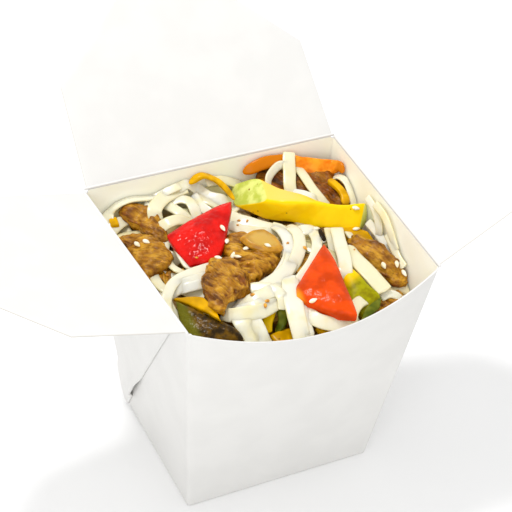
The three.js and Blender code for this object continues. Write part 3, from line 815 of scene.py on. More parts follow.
# One entry for each piece that lies on the heap, in mm and degrees. A pillow has its middle, its
# rise along X and Y (lean) and its plan about the middle; a strip has its path. Both have their
# finish, and beef may have its grain's turn and the share of its lumps.
PIECES = [
    {"node": "red_pepper", "finish": "red_pepper", "make": pillow, "at": [-18, 4, 92.5],
     "lean": [0.15, 0.14], "thickness": 4, "crown": 1.4, "square": 0.35, "tension": 0.16,
     "outline": [[16, 12.5], [3, 11.5], [-11, 8], [-11, 0], [-9.5, -9], [0, -10.5], [6, -4.5]]},
    {"node": "orange_pepper", "finish": "orange_pepper", "make": pillow, "at": [9.5, -34.5, 90.5],
     "lean": [0.08, 0.16], "thickness": 5, "crown": 2, "square": 0.35, "tension": 0.16,
     "outline": [[9, 18.5], [9, 10], [7.5, 0], [5, -14.5], [-0.5, -12],
                 [-5, -7.5], [-9, -2], [-10, 0.5], [-8, 4.5], [-3, 9], [3, 14]]},
    {"node": "yellow_pepper", "finish": "cut_yellow_pepper", "make": strip,
     "path": [[2, 35, 93], [6.5, 28.5, 93], [10.5, 22.5, 92.5], [14, 17.5, 92], [17, 14, 92],
              [20.5, 11.5, 91.5], [26, 7.5, 90.5], [32, 4.5, 90], [37.5, 2.5, 89.5],
              [43.5, 2, 88.5], [50, 1, 88]],
     "width": (9.8, 9.8, 10, 9, 9.2, 9.4), "thickness": (10, 10, 10, 10, 8, 5.5, 4, 3.6, 3.6, 3.6, 3.6),
     "roll": (-95, -95, -95, -94, -89, -76, -65, -59, -56, -54, -54), "square": 0.34, "blunt": 60,
     "cut": ((-1.46, 0.9), (-0.3, -0.8))},
    {"node": "beef_centre_front", "finish": "beef", "make": pillow, "at": [-20.5, -19.5, 91],
     "lean": [0.1, 0.07], "thickness": 7, "square": 0.55,
     "outline": [[0, 12], [3.5, 12.5], [6, 9.5], [6.5, 4.5], [8.5, 0.5], [6.5, -5.5], [1.5, -7],
                 [-2.5, -8.5], [-6, -11.5], [-8, -7], [-8, 0], [-6, 4.5], [-3.5, 6], [-2.5, 9.5]],
     "tension": 0.2, "lumps": 1},
    {"node": "onion_slice", "finish": "onion", "make": pillow, "at": [-0.5, -5.5, 94],
     "lean": [-0.05, 0.1], "thickness": 1.6, "crown": 1, "square": 0.5, "ring": 0.5,
     "outline": [[-6.5, 3.5], [-1.5, 6], [3.5, 5.5], [6, 1], [6, -5], [3.5, -6.5], [-2, -4.5], [-5.5, -1]]},
    {"node": "beef_centre_back", "finish": "beef", "make": pillow, "at": [-6, -8.5, 89.5],
     "lean": [0.02, 0.09], "thickness": 7, "square": 0.6,
     "outline": [[-6.5, 10], [-2.5, 13.5], [2, 12.5], [7, 7], [10, 1], [10, -2.5], [6.5, -7],
                 [1, -9], [-4.5, -11.5], [-6.5, -8.5], [-6.5, 1.5]], "grain": -40},
    {"node": "beef_upper_left", "finish": "beef", "make": strip,
     "path": [[-37.5, 34.5, 90], [-34, 32, 90], [-31, 28, 89.5], [-29.5, 22, 88.5], [-27.5, 15, 86]],
     "width": (8, 10.5, 8, 6), "thickness": (6,), "roll": (-25,), "square": 0.7, "blunt": 4,
     "grain": -55},
    {"node": "beef_left", "finish": "beef", "make": pillow, "at": [-37, 7, 88.5],
     "lean": [0.2, 0.08], "thickness": 7, "square": 0.6,
     "outline": [[-7, 12], [-2, 11.5], [3.5, 7.5], [6, 2.5], [7, -3], [3, -8], [-4.5, -10.5],
                 [-5.5, -7]], "grain": -35},
    {"node": "beef_right", "finish": "beef", "make": strip,
     "path": [[32, -9, 89.5], [35.5, -18, 88.5], [39.5, -26, 86], [43.5, -33.5, 82.5]],
     "width": (7, 10, 9, 6), "thickness": (6,), "roll": (-30,), "square": 0.65, "blunt": 5,
     "grain": -65},
    {"node": "orange_strip", "finish": "orange", "make": strip,
     "path": [[11, 35.5, 94.5], [14.5, 35, 96], [19.5, 35, 97.1], [24.5, 35, 97.1], [29.5, 35, 96],
              [34, 32.5, 94], [39.5, 30, 93.5], [44.5, 29, 93], [46.5, 26, 94.5], [46.5, 23, 93.5]],
     "width": (4, 5, 4.4, 7, 6, 3), "thickness": (2.2, 2.6, 2.2, 3, 2.4), "roll": (-50,),
     "square": 0.6, "blunt": 10},
    {"node": "yellow_strip_back_left", "finish": "shaded_yellow_pepper", "make": strip,
     "path": [[-10.5, 35.5, 95], [-6, 36, 97], [-2.5, 35.5, 96], [1, 32, 94], [3, 25, 91]],
     "width": (2.6, 3.4, 2.8, 2), "thickness": (1.6,)},
    {"node": "yellow_strip_back_right", "finish": "shaded_yellow_pepper", "make": strip,
     "path": [[41, 23.5, 91.5], [42, 18, 91.5], [42.5, 14, 90.5], [41.5, 10, 88.5]],
     "width": (3, 3.8), "thickness": (2.4,)},
    {"node": "yellow_pepper_front_left", "finish": "shaded_yellow_pepper", "make": pillow,
     "at": [-31.5, -23, 89], "lean": [0.3, 0.1], "thickness": 2.2, "square": 0.5,
     "outline": [[-6.5, 6.5], [-2, 4.5], [2, 1], [3.5, -6], [3, -11], [0, -4], [-3, 1]]},
    {"node": "olive_pepper", "finish": "olive", "make": pillow, "at": [-33, -31, 85],
     "lean": [0.22, 0.28], "thickness": 5, "crown": 1, "square": 0.5,
     "outline": [[-5, 13], [-2, 10], [1.5, 5], [6, -1.5], [9, -6],
                 [9.5, -10], [-1, -6.5], [-6, -3], [-7, 3]]},
    {"node": "green_pepper", "finish": "green_pepper", "make": pillow, "at": [24, -33.5, 86.5],
     "lean": [0.11, 0.3], "thickness": 3.4, "crown": 1, "square": 0.4, "fade_way": [0.3, -1],
     "outline": [[-2.5, 8.5], [0.5, 8.5], [2, 5], [3, 0], [5, -5.5], [2, -9], [-3.5, -9.5], [-6, -5],
                 [-4.5, 1]]},
    {"node": "dark_green_leaf", "finish": "dark_green", "make": pillow, "at": [22.5, -44.5, 86],
     "lean": [0, 0.3], "thickness": 1.6, "square": 0.6,
     "outline": [[-5.5, -3.5], [-2, 0.5], [2.5, 2.5], [6, 3.5], [3.5, 0], [-1, -2]]},
    {"node": "beef_front_right", "finish": "beef", "make": pillow, "at": [31.5, -38, 81.5],
     "lean": [0, 0.2], "thickness": 5, "square": 0.6,
     "outline": [[0, 4], [6.5, 2], [6, -2], [-3, -4], [-6, -1]]},
    {"node": "yellow_piece_right", "finish": "shaded_yellow_pepper", "make": pillow, "at": [38, -5, 85],
     "lean": [0, 0.13], "thickness": 4, "square": 0.45,
     "outline": [[-3.5, 5.5], [1, 4], [5, 0.5], [5, -4], [0.5, -5.5], [-3, -1]]},
    # beef_back takes the painted-shade copy of the beef
    {"node": "beef_back", "finish": "shaded_beef", "make": pillow, "at": [30, 24, 87.5],
     "lean": [0.03, 0.32], "thickness": 7, "square": 0.6,
     "outline": [[-12, 14], [-7, 16], [1.5, 15], [10.5, 8], [16, 3],
                 [16.5, -5.5], [14, -13], [5.5, -15], [-6.5, -11], [-12, -2], [-15, 5]]},
    {"node": "onion_under_pepper", "finish": "onion", "make": pillow, "at": [3, 15, 86.5],
     "lean": [0.1, 0.2], "thickness": 3, "square": 0.5,
     "outline": [[-3.5, 5.5], [1, 2], [5, -3], [1.5, -5], [-2.5, 0]]},
    {"node": "onion_back_left", "finish": "pale_onion", "make": pillow, "at": [-3, 28.5, 89],
     "lean": [0, 0.1], "thickness": 2, "square": 0.5,
     "outline": [[-3.5, 4], [0.5, 3], [4, -3], [-2, -4]]},
    {"node": "onion_left", "finish": "pale_onion", "make": pillow, "at": [-15.5, 27.5, 88],
     "lean": [0.05, 0.15], "thickness": 2.4, "square": 0.5,
     "outline": [[-3, 2.5], [2, 2], [2, -3.5], [-2, -2]]},
    {"node": "beef_centre_right", "finish": "beef", "make": strip,
     "path": [[5, -20.5, 89], [10, -17, 89.5], [14.5, -12, 89.5]],
     "width": (5,), "thickness": (4,), "square": 0.7, "blunt": 4},
    {"node": "beef_low_left", "finish": "beef", "make": pillow, "at": [-35, -3, 86],
     "lean": [0.07, 0.1], "thickness": 4, "square": 0.6,
     "outline": [[-1.5, 5], [1.5, 5], [3, 1], [1.5, -4], [-2, -3.5], [-3, 0.5]]},
    {"node": "yellow_bit_left", "finish": "shaded_yellow_pepper", "make": pillow, "at": [-41.5, 30.5, 88.5],
     "thickness": 3.5, "square": 0.45, "outline": [[-1.5, 2], [1.5, 2.5], [1, -2.5], [-2, -2]]},
    {"node": "yellow_strip_front", "finish": "yellow_pepper", "make": strip,
     "path": [[-8, -30.5, 86.5], [-9, -32, 84.5], [-11, -34, 82.5], [-12.5, -36.5, 80.5]],
     "width": (3, 4.8), "thickness": (2.4,)},
    {"node": "green_strip_front", "finish": "dark_green", "make": strip,
     "path": [[-5.5, -31.5, 86.5], [-5.5, -34, 84.5], [-7, -36.5, 82.5], [-9, -37, 79.5]],
     "width": (3, 3.4), "thickness": (2.4,)},
    {"node": "yellow_piece_front", "finish": "shaded_yellow_pepper", "make": pillow, "at": [-6, -41, 79.5],
     "lean": [0, 0.25], "thickness": 3, "square": 0.45,
     "outline": [[-6, 3], [0, 4], [6, 2.5], [6, -3], [-4, -3]]},
    {"node": "yellow_piece_front_right", "finish": "shaded_yellow_pepper", "make": pillow,
     "at": [10, -42.5, 80], "lean": [0, 0.25], "thickness": 3, "square": 0.45,
     "outline": [[-6, 2], [0, 4], [7, 3], [6, -3], [-4, -3.5]]},
]


def make_food(entry, seed):
    """One piece of food: its loops, moved out along their normals by the relief and kept inside
    the walls. Beef has lumps, creases and fibres drawn out along its grain, and two values for
    its material: lit_ridge, 0 in the creases and 1 on the fibres, which places a painted
    highlight on the ridges and painted shade in the creases, and fibre, the drawn-out place."""
    loops, values = entry["make"](**entry)
    if entry["finish"] in ("beef", "shaded_beef"):
        lumps = entry.get("lumps", 0.7)
        turn = math.radians(entry.get("grain", 97 * seed))
        grain = np.array([math.cos(turn), math.sin(turn), 0.0])
        sample = along_grain(loops, grain, FIBRE_STRETCH)
        fibres = creased_height(sample, BEEF_FIBRES, seed)
        creases = creased_height(loops, BEEF_CREASES, seed + 20)
        height = lumps * (relief_height(loops, BEEF_LUMPS, seed + 50) + creases) + fibres
        # lit_ridge: mask for the painted highlight on ridges and painted shade in creases
        values["lit_ridge"] = smooth((fibres + 0.4 * lumps * creases + 0.4) / 0.75)
        values["fibre"] = sample * MM
    else:
        height = relief_height(loops, PEPPER_RELIEF, seed)
    loops = keep_inside(loops + loop_normals(loops) * height[..., None])
    skin = closed_skin(loops)
    points = {}
    for name, grid in values.items():
        rows = grid.reshape(-1, *grid.shape[2:])
        points[name] = [np.concatenate([rows, grid[:1].mean(1), grid[-1:].mean(1)])]
    piece = make_piece(f"{entry['node']}_cooked", [skin], [material_of(entry["finish"])],
                       attributes=points)
    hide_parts(entry["node"])
    return piece


# ------------------------------------------------------------------ noodles

HEAP_LEAN = unit(np.array([-0.12, -0.35, 1.0]))  # which way a noodle's flat side faces
CLEAR = [  # places (x, y, radius) in mm that the random noodles leave in view
    (30, 24, 14), (-7, -41, 7.5), (10, -44, 6.5), (38, -6, 6.5), (9, -15.5, 5), (26, -44, 6),
    (-24.5, -33, 8), (22.5, -8, 3.5),
]
FILLERS = ((-4.6, 34), (-3.2, 34), (-1.8, 30), (-0.6, 24))  # height over the top in mm, how many
FILLER_STEP = 3.0  # mm from one point of a random noodle's path to the next
FEWEST_POINTS = 6  # a random noodle with a shorter path is left out
# lower noodles take the sauce-and-shade colour: partly sauce, partly painted shade
SAUCE_AND_SHADE = {"from": 0.3, "over": 3.5, "most": 0.95}  # mm under the top where it starts, grows, share


def heap_top(x, y):
    """Height of the heap: it falls as the square of the distance from the middle, by side minus
    middle at the walls and by as much as front towards the front."""
    across = np.minimum(1, (x / RIM["half_back"]) ** 2)
    along = np.minimum(1, ((y - HEAP["centre_y"]) / RIM["half_back"]) ** 2)
    forward = np.maximum(0, -(y - HEAP["centre_y"]) / RIM["half_back"])
    edge = 1 - (1 - across) * (1 - along)
    return HEIGHT - lerp(HEAP["middle"], HEAP["side"], edge) - HEAP["front"] * forward**2


def noodle_core():
    """The heap's inside, from the carton's floor up to a few millimetres under the noodles:
    loops up the walls, then shrinking loops over the top, with noise for its lumps."""
    up, over = 14, 26  # loops up the walls and over the top
    board = carton_sizes().board / MM
    ring, floor_ring = (wall_ring(w, board + CORE["gap"], CORE["corner"])[0]
                        for w in (1 - HEAP["side"] / HEIGHT, 0.0))
    top_z = heap_top(ring[:, 0], ring[:, 1]) - CORE["drop"]
    walls = []
    for t in np.linspace(0, 1, up):
        xy = lerp(floor_ring, ring, t)
        walls.append(np.column_stack([xy, lerp(board + CORE["gap"] / 2, top_z, t)]))
    middle = np.array([0.0, HEAP["centre_y"]])
    for r in np.linspace(0.96, 0.04, over):
        xy = lerp(middle, ring, r)
        points = np.column_stack([xy, heap_top(xy[:, 0], xy[:, 1]) - CORE["drop"]])
        points[:, 2] += relief_height(points, CORE_LUMPS, 5)
        walls.append(points)
    loops = keep_inside(np.array(walls))
    # its dark colour is painted shade for the gaps between noodles, partly sauce
    piece = make_piece("noodle_core", [closed_skin(loops)], [material_of("heap")])
    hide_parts("noodle_heap")
    return piece


def ribbon(path, width, thickness, roll, steps=64, around=12, wobble=0.15, seed=0):
    """One noodle: a squared oval section carried along the path, flat side up the heap's lean.
    roll is the turn of the flat side about the path at its start and end, in degrees. Noise adds
    up to wobble, in radians, to that turn over 14 mm and up to 7 percent to the width over 9 mm.
    Both ends are blunt: the size falls to nothing as the square root of 1 - |2v - 1|^60."""
    line = open_curve(path, steps)
    tangent = unit(np.gradient(line, axis=0))
    side = unit(np.cross(tangent, HEAP_LEAN))
    top = np.cross(side, tangent)
    v = np.linspace(0, 1, steps)
    turn = np.radians(lerp(roll[0], roll[1], v)) + wobble * noise(line, 14.0, seed)
    cos, sin = np.cos(turn)[:, None], np.sin(turn)[:, None]
    wide = side * cos + top * sin
    thick = top * cos - side * sin
    size = np.clip(1 - np.abs(2 * v - 1) ** 60, 0, 1) ** 0.5
    grow = 1 + 0.07 * noise(line, 9.0, seed + 3)
    angle = 2 * math.pi * (np.arange(around) + 0.5) / around
    across = signed_power(np.cos(angle), 0.5) * (size * grow * width / 2)[:, None]
    through = signed_power(np.sin(angle), 0.6) * (size * thickness / 2)[:, None]
    loops = line[:, None] + across[..., None] * wide[:, None] + through[..., None] * thick[:, None]
    return keep_inside(loops)


def filler_routes(rng, count, level):
    """Random noodles lying at one level of the heap: each heading wanders by a small random
    amount at every step, and its height is the heap's top plus the level plus a sine wave of
    0.7 mm. A noodle ends where it would leave the box or enter a place in CLEAR."""
    routes = []
    for _ in range(count):
        steps = rng.integers(14, 24)
        start = rng.uniform([-46, -46], [46, 36])
        heading = rng.uniform(0, 2 * math.pi) + np.cumsum(
            rng.normal(0, 0.10, steps) + rng.uniform(-0.09, 0.09))
        xy = start + np.cumsum(FILLER_STEP * np.stack([np.cos(heading), np.sin(heading)], -1), axis=0)
        keep = (np.abs(xy[:, 0]) < 47) & (xy[:, 1] > -52) & (xy[:, 1] < 37)
        for x, y, radius in CLEAR:
            keep &= np.hypot(xy[:, 0] - x, xy[:, 1] - y) > radius
        xy = xy[: np.argmin(keep)] if not keep.all() else xy
        if len(xy) < FEWEST_POINTS:
            continue
        wave = 0.7 * np.sin(np.arange(len(xy)) * rng.uniform(0.3, 0.6) + rng.uniform(0, 6))
        z = heap_top(xy[:, 0], xy[:, 1]) + level + wave
        routes.append(np.column_stack([xy, z]))
    return routes


# Noodles that show on top: turn of the flat side at the start and the end in degrees, share of
# the usual width, and points in mm.
NOODLES = [
    ((0, 0), 1, [(30, 36, 99), (28.5, 33, 97.5), (27, 29, 95),
     (25, 24.5, 93), (24, 20.5, 90), (24, 20, 85.5)]),
    ((45, 45), 0.7, [(28, 32, 95.5), (25, 32.5, 96.5), (22, 31.5, 96), (18.5, 29, 94.5), (17, 26, 92.5)]),
    ((10, 10), 0.8, [(32, 35.5, 94), (32, 27, 93.5), (32, 20, 92.5), (33, 14.5, 91), (35, 12, 88.5)]),
    ((0, 0), 0.85, [(24.5, 21, 91.5), (27.5, 17.5, 92), (30.5, 14.5, 91), (34, 13.5, 87.5)]),
    ((20, 20), 0.75, [(43.5, 25.5, 90.5), (45, 22.5, 92.5), (46, 18.5, 92),
     (45.5, 13.5, 90), (45, 9.5, 87)]),
    ((-50, -50), 0.6, [(45.5, 3, 96), (45.5, -2, 95), (45, -6.5, 93), (44.5, -9.5, 90), (44, -10.5, 85)]),
    ((-55, -55), 0.6, [(45.5, -3, 97), (45, -10.5, 97), (44.5, -16, 95), (44.5, -19.5, 92), (44, -23, 90)]),
    ((-30, -30), 0.65, [(44.5, -1, 88), (44.5, -8.5, 88), (44, -15.5, 87.5), (43.5, -19.5, 85)]),
    ((-40, -40), 0.6, [(44.5, -15, 92), (44, -19.5, 91), (43.5, -25, 89), (43.5, -30, 88)]),
    ((-25, -25), 0.95, [(-22, 35.5, 92.5), (-27, 35.5, 93), (-33.5, 35.5, 94), (-38.5, 35.5, 93),
     (-42, 35, 90.5), (-43.5, 31.5, 88.5), (-43, 28.5, 85.5)]),
    ((0, 0), 1.1, [(-28, 24, 90), (-27.5, 27, 93.5), (-22.5, 32.5, 93),
     (-16.5, 35.5, 93), (-11.5, 35.5, 94)]),
    ((0, 0), 0.8, [(-28.5, 29, 91), (-27, 33, 92), (-23.5, 35.5, 92.5), (-19, 35.5, 94), (-14, 36, 95)]),
    ((10, 10), 0.85, [(-21.5, 31.5, 90), (-16.5, 32.5, 91.5), (-13, 30, 91.5),
     (-12.5, 26, 90.5), (-12.5, 22, 87.5)]),
    ((0, 0), 0.9, [(-22.5, 34.5, 90), (-20.5, 30, 91), (-18, 25, 90.5), (-15, 22, 87.5)]),
    ((0, 0), 0.95, [(-28, 20.5, 90), (-24.5, 20.5, 91.5), (-20, 21, 91), (-15, 21, 87.5)]),
    ((-15, -15), 1, [(-15.5, 35.5, 93.5), (-11.5, 36, 95), (-7, 35.5, 91.5),
     (-5, 30.5, 91), (-1, 27.5, 90.5), (4, 27.5, 87.5)]),
    ((0, 0), 0.85, [(-10, 34, 90), (-6.5, 30, 90.5), (-3, 26.5, 89.5), (0, 26, 86.5)]),
    ((-10, -10), 0.8, [(-4, 35.5, 94), (2, 35.5, 93.5), (7.5, 35.5, 91), (12.5, 35, 87)]),
    ((-30, -30), 0.75, [(-9.5, 34.5, 90.5), (-9.5, 27, 90.5), (-8, 22.5, 90), (-6, 21, 86.5)]),
    ((0, 0), 1.1, [(-2, 21, 89), (0, 15.5, 89.5), (3, 12, 89.5),
     (6.5, 8, 89.5), (10.5, 5.5, 89), (15, 4.5, 87.5)]),
    ((0, 0), 0.9, [(-4.5, 16, 88.5), (-1.5, 10, 89.5), (2.5, 6.5, 89.5), (7, 4.5, 89), (12.5, 3, 87.5)]),
    ((-30, -30), 0.7, [(9.5, 7, 90), (11, 2, 91.5), (10.5, -2.5, 91.5), (9.5, -6, 90), (7, -10, 88.5)]),
    ((15, 15), 1, [(13, 3.5, 90.5), (14, 0, 92.5), (14, -5, 93),
     (11.5, -11.5, 93), (7.5, -16.5, 92), (3, -20, 90.5)]),
    ((5, 5), 0.95, [(10.5, 6, 90.5), (10.5, 0.5, 92), (9.5, -6.5, 92.5),
     (6.5, -13.5, 92), (2, -18.5, 91), (-2.5, -21.5, 89.5)]),
    ((0, 10), 1, [(15.5, -0.5, 90), (18, -1.5, 91.5), (21, -1.5, 91), (24.5, -1, 89)]),
    ((0, 0), 0.78, [(21, -1, 90.5), (19.5, -8.5, 92), (16.5, -14.5, 92.5),
     (12.5, -19.5, 92), (8.5, -23, 91.5), (4, -26, 90.5)]),
    ((20, -10), 1.15, [(9, -7, 91), (7, -14.5, 92), (2.5, -20, 91.5),
     (-3, -23, 91), (-8.5, -24.5, 90.5), (-13, -23.5, 88.5)]),
    ((0, -10), 0.85, [(6, -15, 90.5), (2, -21, 90.5), (-2, -23.5, 90), (-6.5, -24.5, 89)]),
    ((0, 0), 1.3, [(3, -22, 90.5), (-0.5, -29, 91), (-2.5, -35.5, 90.5),
     (-4, -41.5, 88.5), (-4.5, -46.5, 84.5), (-3.5, -47, 80.5)]),
    ((10, 10), 0.8, [(5, -25, 90), (2, -30, 90), (0.5, -36, 89.5),
     (-1, -41.5, 87.5), (-1.5, -46.5, 84.5), (-0.5, -47, 80.5)]),
    ((0, 0), 1.05, [(31, -2, 89.5), (26.5, -13.5, 91.5), (24, -21.5, 91.5),
     (21.5, -27.5, 90.5), (21.5, -29, 86.5)]),
    ((0, 0), 0.9, [(30, 1, 87.5), (27, -7, 88.5), (25, -13, 87.5), (24, -18, 85.5)]),
    ((0, 0), 1.3, [(28.5, -13.5, 90), (28.5, -21.5, 90), (29.5, -30, 89.5), (31.5, -38.5, 87)]),
    ((30, 30), 0.7, [(35, -3.5, 87.5), (34.5, -11, 87.5), (34, -19, 87), (34.5, -24.5, 85.5)]),
    ((0, 0), 0.7, [(30, -38, 84.5), (33.5, -38, 85), (36, -39, 84), (38, -40.5, 81.5)]),
    ((0, 0), 0.95, [(14, -46.5, 84.5), (16, -43.5, 86.5), (20, -40.5, 87), (25.5, -38.5, 86)]),
    ((-20, -20), 1.05, [(0.5, -37, 88), (2, -43, 87.5), (6, -46, 86.5), (11, -47, 85.5), (18, -44.5, 84)]),
    ((-30, -20), 1.05, [(-25.5, -28, 87), (-23.5, -31.5, 88), (-19, -33.5, 89), (-14.5, -34.5, 89),
     (-9, -33, 89), (-3.5, -30, 88.5), (2, -26.5, 87)]),
    ((0, 0), 1.3, [(-21, -31, 87.5), (-21, -35.5, 87), (-20, -38, 85), (-19, -41, 82.5), (-18, -41.5, 79)]),
    ((0, 0), 1, [(-17, -30.5, 88), (-17, -35, 87.5), (-16.5, -38.5, 85.5),
     (-16, -41, 83), (-14.5, -42.5, 79.5)]),
    ((0, 0), 1.1, [(-19, -25, 87), (-17, -28.5, 89), (-13.5, -29.5, 90.5),
     (-8.5, -28.5, 91), (-3, -27, 90), (3, -24, 88)]),
    ((0, 0), 0.85, [(-13, -23.5, 90.5), (-9.5, -25, 91), (-6, -28, 91), (-5, -32, 90.5), (-6, -35.5, 88)]),
    ((0, 0), 0.9, [(-22, -27.5, 86.5), (-19, -30.5, 88.5), (-15, -32, 90),
     (-10, -31, 90), (-4, -28, 89.5), (2.5, -24, 87.5)]),
    ((0, 0), 0.8, [(-42.5, -25.5, 86.5), (-42, -19.5, 88.5), (-39.5, -15, 90), (-35.5, -11, 90.5),
     (-30.5, -9.5, 91), (-24, -8.5, 91), (-17.5, -6.5, 90), (-10.5, 0, 86.5)]),
    ((-15, -15), 1.1, [(-39.5, -13.5, 88), (-33.5, -12.5, 89.5), (-28, -12.5, 90),
     (-22.5, -11.5, 89.5), (-15, -7, 86.5)]),
    ((-10, -10), 0.8, [(-35, -13, 88.5), (-31, -14, 89.5), (-26.5, -14, 89.5), (-22.5, -12.5, 88.5)]),
    ((0, -30), 0.6, [(-39, 2.5, 87), (-39.5, -5, 88), (-39.5, -11.5, 88), (-40, -17.5, 87),
     (-39.5, -22, 85), (-38.5, -26, 83), (-36, -31.5, 81)]),
    ((0, 0), 0.7, [(-38, 3, 86.5), (-40, -5.5, 88.5), (-39, -11.5, 88.5), (-35.5, -13, 87)]),
    ((20, 20), 0.55, [(-30.5, 6.5, 88.5), (-32.5, 0.5, 89.5), (-31.5, -4, 89.5), (-28, -5.5, 88)]),
    ((20, 20), 0.6, [(-27, 8, 89.5), (-28, 1, 90.5), (-27.5, -4, 90), (-23.5, -5.5, 88.5)]),
    ((-10, -10), 0.95, [(-45.5, 27.5, 86.5), (-42.5, 28.5, 88.5), (-38, 31, 88.5), (-31.5, 34.5, 85.5)]),
]

BACKING = [  # noodles on edge against the back wall, behind the gaps: turn, width share, points
    (-50, 1, [(-44, 33, 85.5), (-36, 34.5, 85), (-26, 35, 85.5), (-16, 34.5, 85), (-6, 35, 85.5)]),
    (-45, 0.9, [(-42, 34.5, 89), (-33, 35.5, 88.5), (-24, 35, 89), (-14, 35.5, 88.5),
     (-4, 35.5, 89.5), (4, 34.5, 88.5)]),
]


def make_noodles():
    """All the noodles as one mesh: the ones on top along their paths, and random ones under
    them. For the material each point has a tone, which is creamier at the noodle's edges by
    0.45 times the cosine^4 of the section's angle, partly for the thin translucent edge and partly
    as painted shade where noodles meet, and a depth, its share of the sauce-and-shade colour:
    partly sauce, partly painted shade lower in the heap."""
    width = food_sizes().noodle_width / MM
    thickness = food_sizes().noodle_thickness / MM
    rng = np.random.default_rng(food_sizes().seed)
    parts, tones, depths = [], [], []

    def add(loops, tone):
        skin = closed_skin(loops)
        parts.append(skin)
        rows, around = loops.shape[:2]
        # creamier edges: partly the thin translucent edge, partly painted shade between noodles
        edge = np.abs(np.cos(2 * math.pi * (np.arange(around) + 0.5) / around)) ** 4
        tones.append(np.r_[np.tile(tone + 0.45 * edge, rows), tone, tone])
        # darker colour lower in the heap: partly sauce, partly painted shade
        low = heap_top(skin[0][:, 0], skin[0][:, 1]) - skin[0][:, 2]
        depths.append(smooth((low - SAUCE_AND_SHADE["from"]) / SAUCE_AND_SHADE["over"]) * SAUCE_AND_SHADE["most"])

    for n, (roll, share, path) in enumerate(NOODLES):
        tone = rng.uniform(0, 0.7)
        add(ribbon(path, width * share, thickness, roll, seed=n), tone)
    for level, count in FILLERS:
        for path in filler_routes(rng, count, level):
            roll = rng.normal(0, 22, 2)
            tone = rng.uniform(0.2, 1.0)
            share = rng.uniform(0.9, 1.05)
            seed = int(rng.integers(1000))
            add(ribbon(path, width * share, thickness, roll, 40, 8, 0.3, seed), tone)
    for turn, share, path in BACKING:
        add(ribbon(path, width * share, thickness, (turn, turn)), 1.0)
    piece = make_piece("noodles", parts, [material_of("noodle")],
                       attributes={"tone": tones, "depth": depths})
    return piece


# ------------------------------------------------------------------ seeds and crumbs

# Places seen from above, in mm, and for a sesame seed the turn of its long side in degrees.
SEEDS = [
    (-11, 4.5, -80), (-40, 12, -75), (-37, 11, -60), (-11.5, -0.5, -120), (-6.5, -6, 10),
    (0, -9.5, -65), (-12, -7, 45), (-11, -8.5, -40), (-18.5, -9, -55), (41, 2.4, -30),
    (39, -2.8, -5), (23.5, -1, 10), (3, -39.2, 0), (37, -27, -100), (41.5, -28, -105), (43, -31, -80),
]
CRUMBS = [
    (-0.5, 11.5), (-11.5, -32), (8, -5.5), (-9, -15), (-28, -3), (-33.5, -3), (12.5, -14.5), (28, -16),
]
OVER_FOOD = 0.2  # height that the rays for the seeds start from, metres
SINK = 0.15  # how deep a seed sits in what it lies on, mm
LEVELLING = 0.6  # how far a seed on a slope turns back towards level


def charred_sliver():
    """Thin curl of charred pepper skin that lies on the noodles."""
    loops, _ = strip([[21.5, -6.5, 94.5], [21, -9.5, 94.3], [20.8, -12.5, 93.5]], (1.2, 1.9, 1.4), (0.8,))
    piece = make_piece("charred_sliver", [closed_skin(loops)], [material_of("charred")])
    return piece


def surface_tree(names):
    """Ray tree over the pieces whose names are given, in metres. Each piece's quads come before
    its triangles."""
    verts, faces, start = [], [], 0
    for name in names:
        mesh = bpy.data.objects[name].data
        places = np.empty(len(mesh.vertices) * 3, np.float32)
        mesh.vertices.foreach_get("co", places)
        corners = np.empty(len(mesh.loops), np.int32)
        mesh.loops.foreach_get("vertex_index", corners)
        sizes = np.empty(len(mesh.polygons), np.int32)
        mesh.polygons.foreach_get("loop_total", sizes)
        quads, tris = np.split(corners + start, [4 * np.count_nonzero(sizes == 4)])
        verts += places.reshape(-1, 3).tolist()
        faces += quads.reshape(-1, 4).tolist() + tris.reshape(-1, 3).tolist()
        start += len(mesh.vertices)
    return BVHTree.FromPolygons(verts, faces)


def seed_loops(length, width, thickness):
    """Drop shape along X: at a share v of the length its size is sine(pi v)^0.7 times
    1.15 - 0.5 v, so that it is blunt at one end and pointed at the other."""
    rows, columns = 7, 8
    v = (1 - np.cos(np.linspace(0, math.pi, rows + 2)[1:-1])) / 2
    size = np.sin(np.pi * v) ** 0.7 * (1.15 - 0.5 * v)
    angle = np.linspace(0, 2 * math.pi, columns, endpoint=False)
    x = (v - 0.5)[:, None] * length + 0 * angle
    y = size[:, None] * np.cos(angle) * width / 2
    z = size[:, None] * np.sin(angle) * thickness / 2
    return np.stack([x, y, z], -1)


def laid(loops, tree, x, y, turn):
    """The loops turned about the vertical, then laid on the surface under (x, y)."""
    hit, normal, _, _ = tree.ray_cast(Vector((x * MM, y * MM, OVER_FOOD)), Vector((0, 0, -1)))
    if hit is None:
        raise RuntimeError(f"nothing lies under the seed at {x}, {y}")
    up = unit(np.array(normal) if normal.z > 0 else -np.array(normal))
    up = unit(up + [0, 0, LEVELLING])
    angle = math.radians(turn)
    ahead = np.array([math.cos(angle), math.sin(angle), 0])
    ahead = unit(ahead - up * (ahead @ up))
    across = np.cross(up, ahead)
    half = np.abs(loops[..., 2]).max()
    place = np.array(hit) / MM + up * (half - SINK)
    return place + loops[..., :1] * ahead + loops[..., 1:2] * across + loops[..., 2:] * up


# ------------------------------------------------------------------ stage

CAMERA_PLACE = (-0.19389, -0.38676, 0.41138)
CAMERA_ANGLES = {"azimuth": -26.671, "elevation": 37.113, "roll": 3.010}
LENS = {"focal": 107.376, "sensor": 36.0}
LIGHTS = {  # square soft lights: place, aim and size in metres
    "key": ((-0.11, 0.24, 1.05), (0, 0, 0.09), 0.16),
    "fill": ((-0.70, -0.90, 0.75), (0, 0, 0.07), 0.8),
}
FLOOR_RADII = (3.0, 0.5)  # outer edge and inner ring of the floor, metres


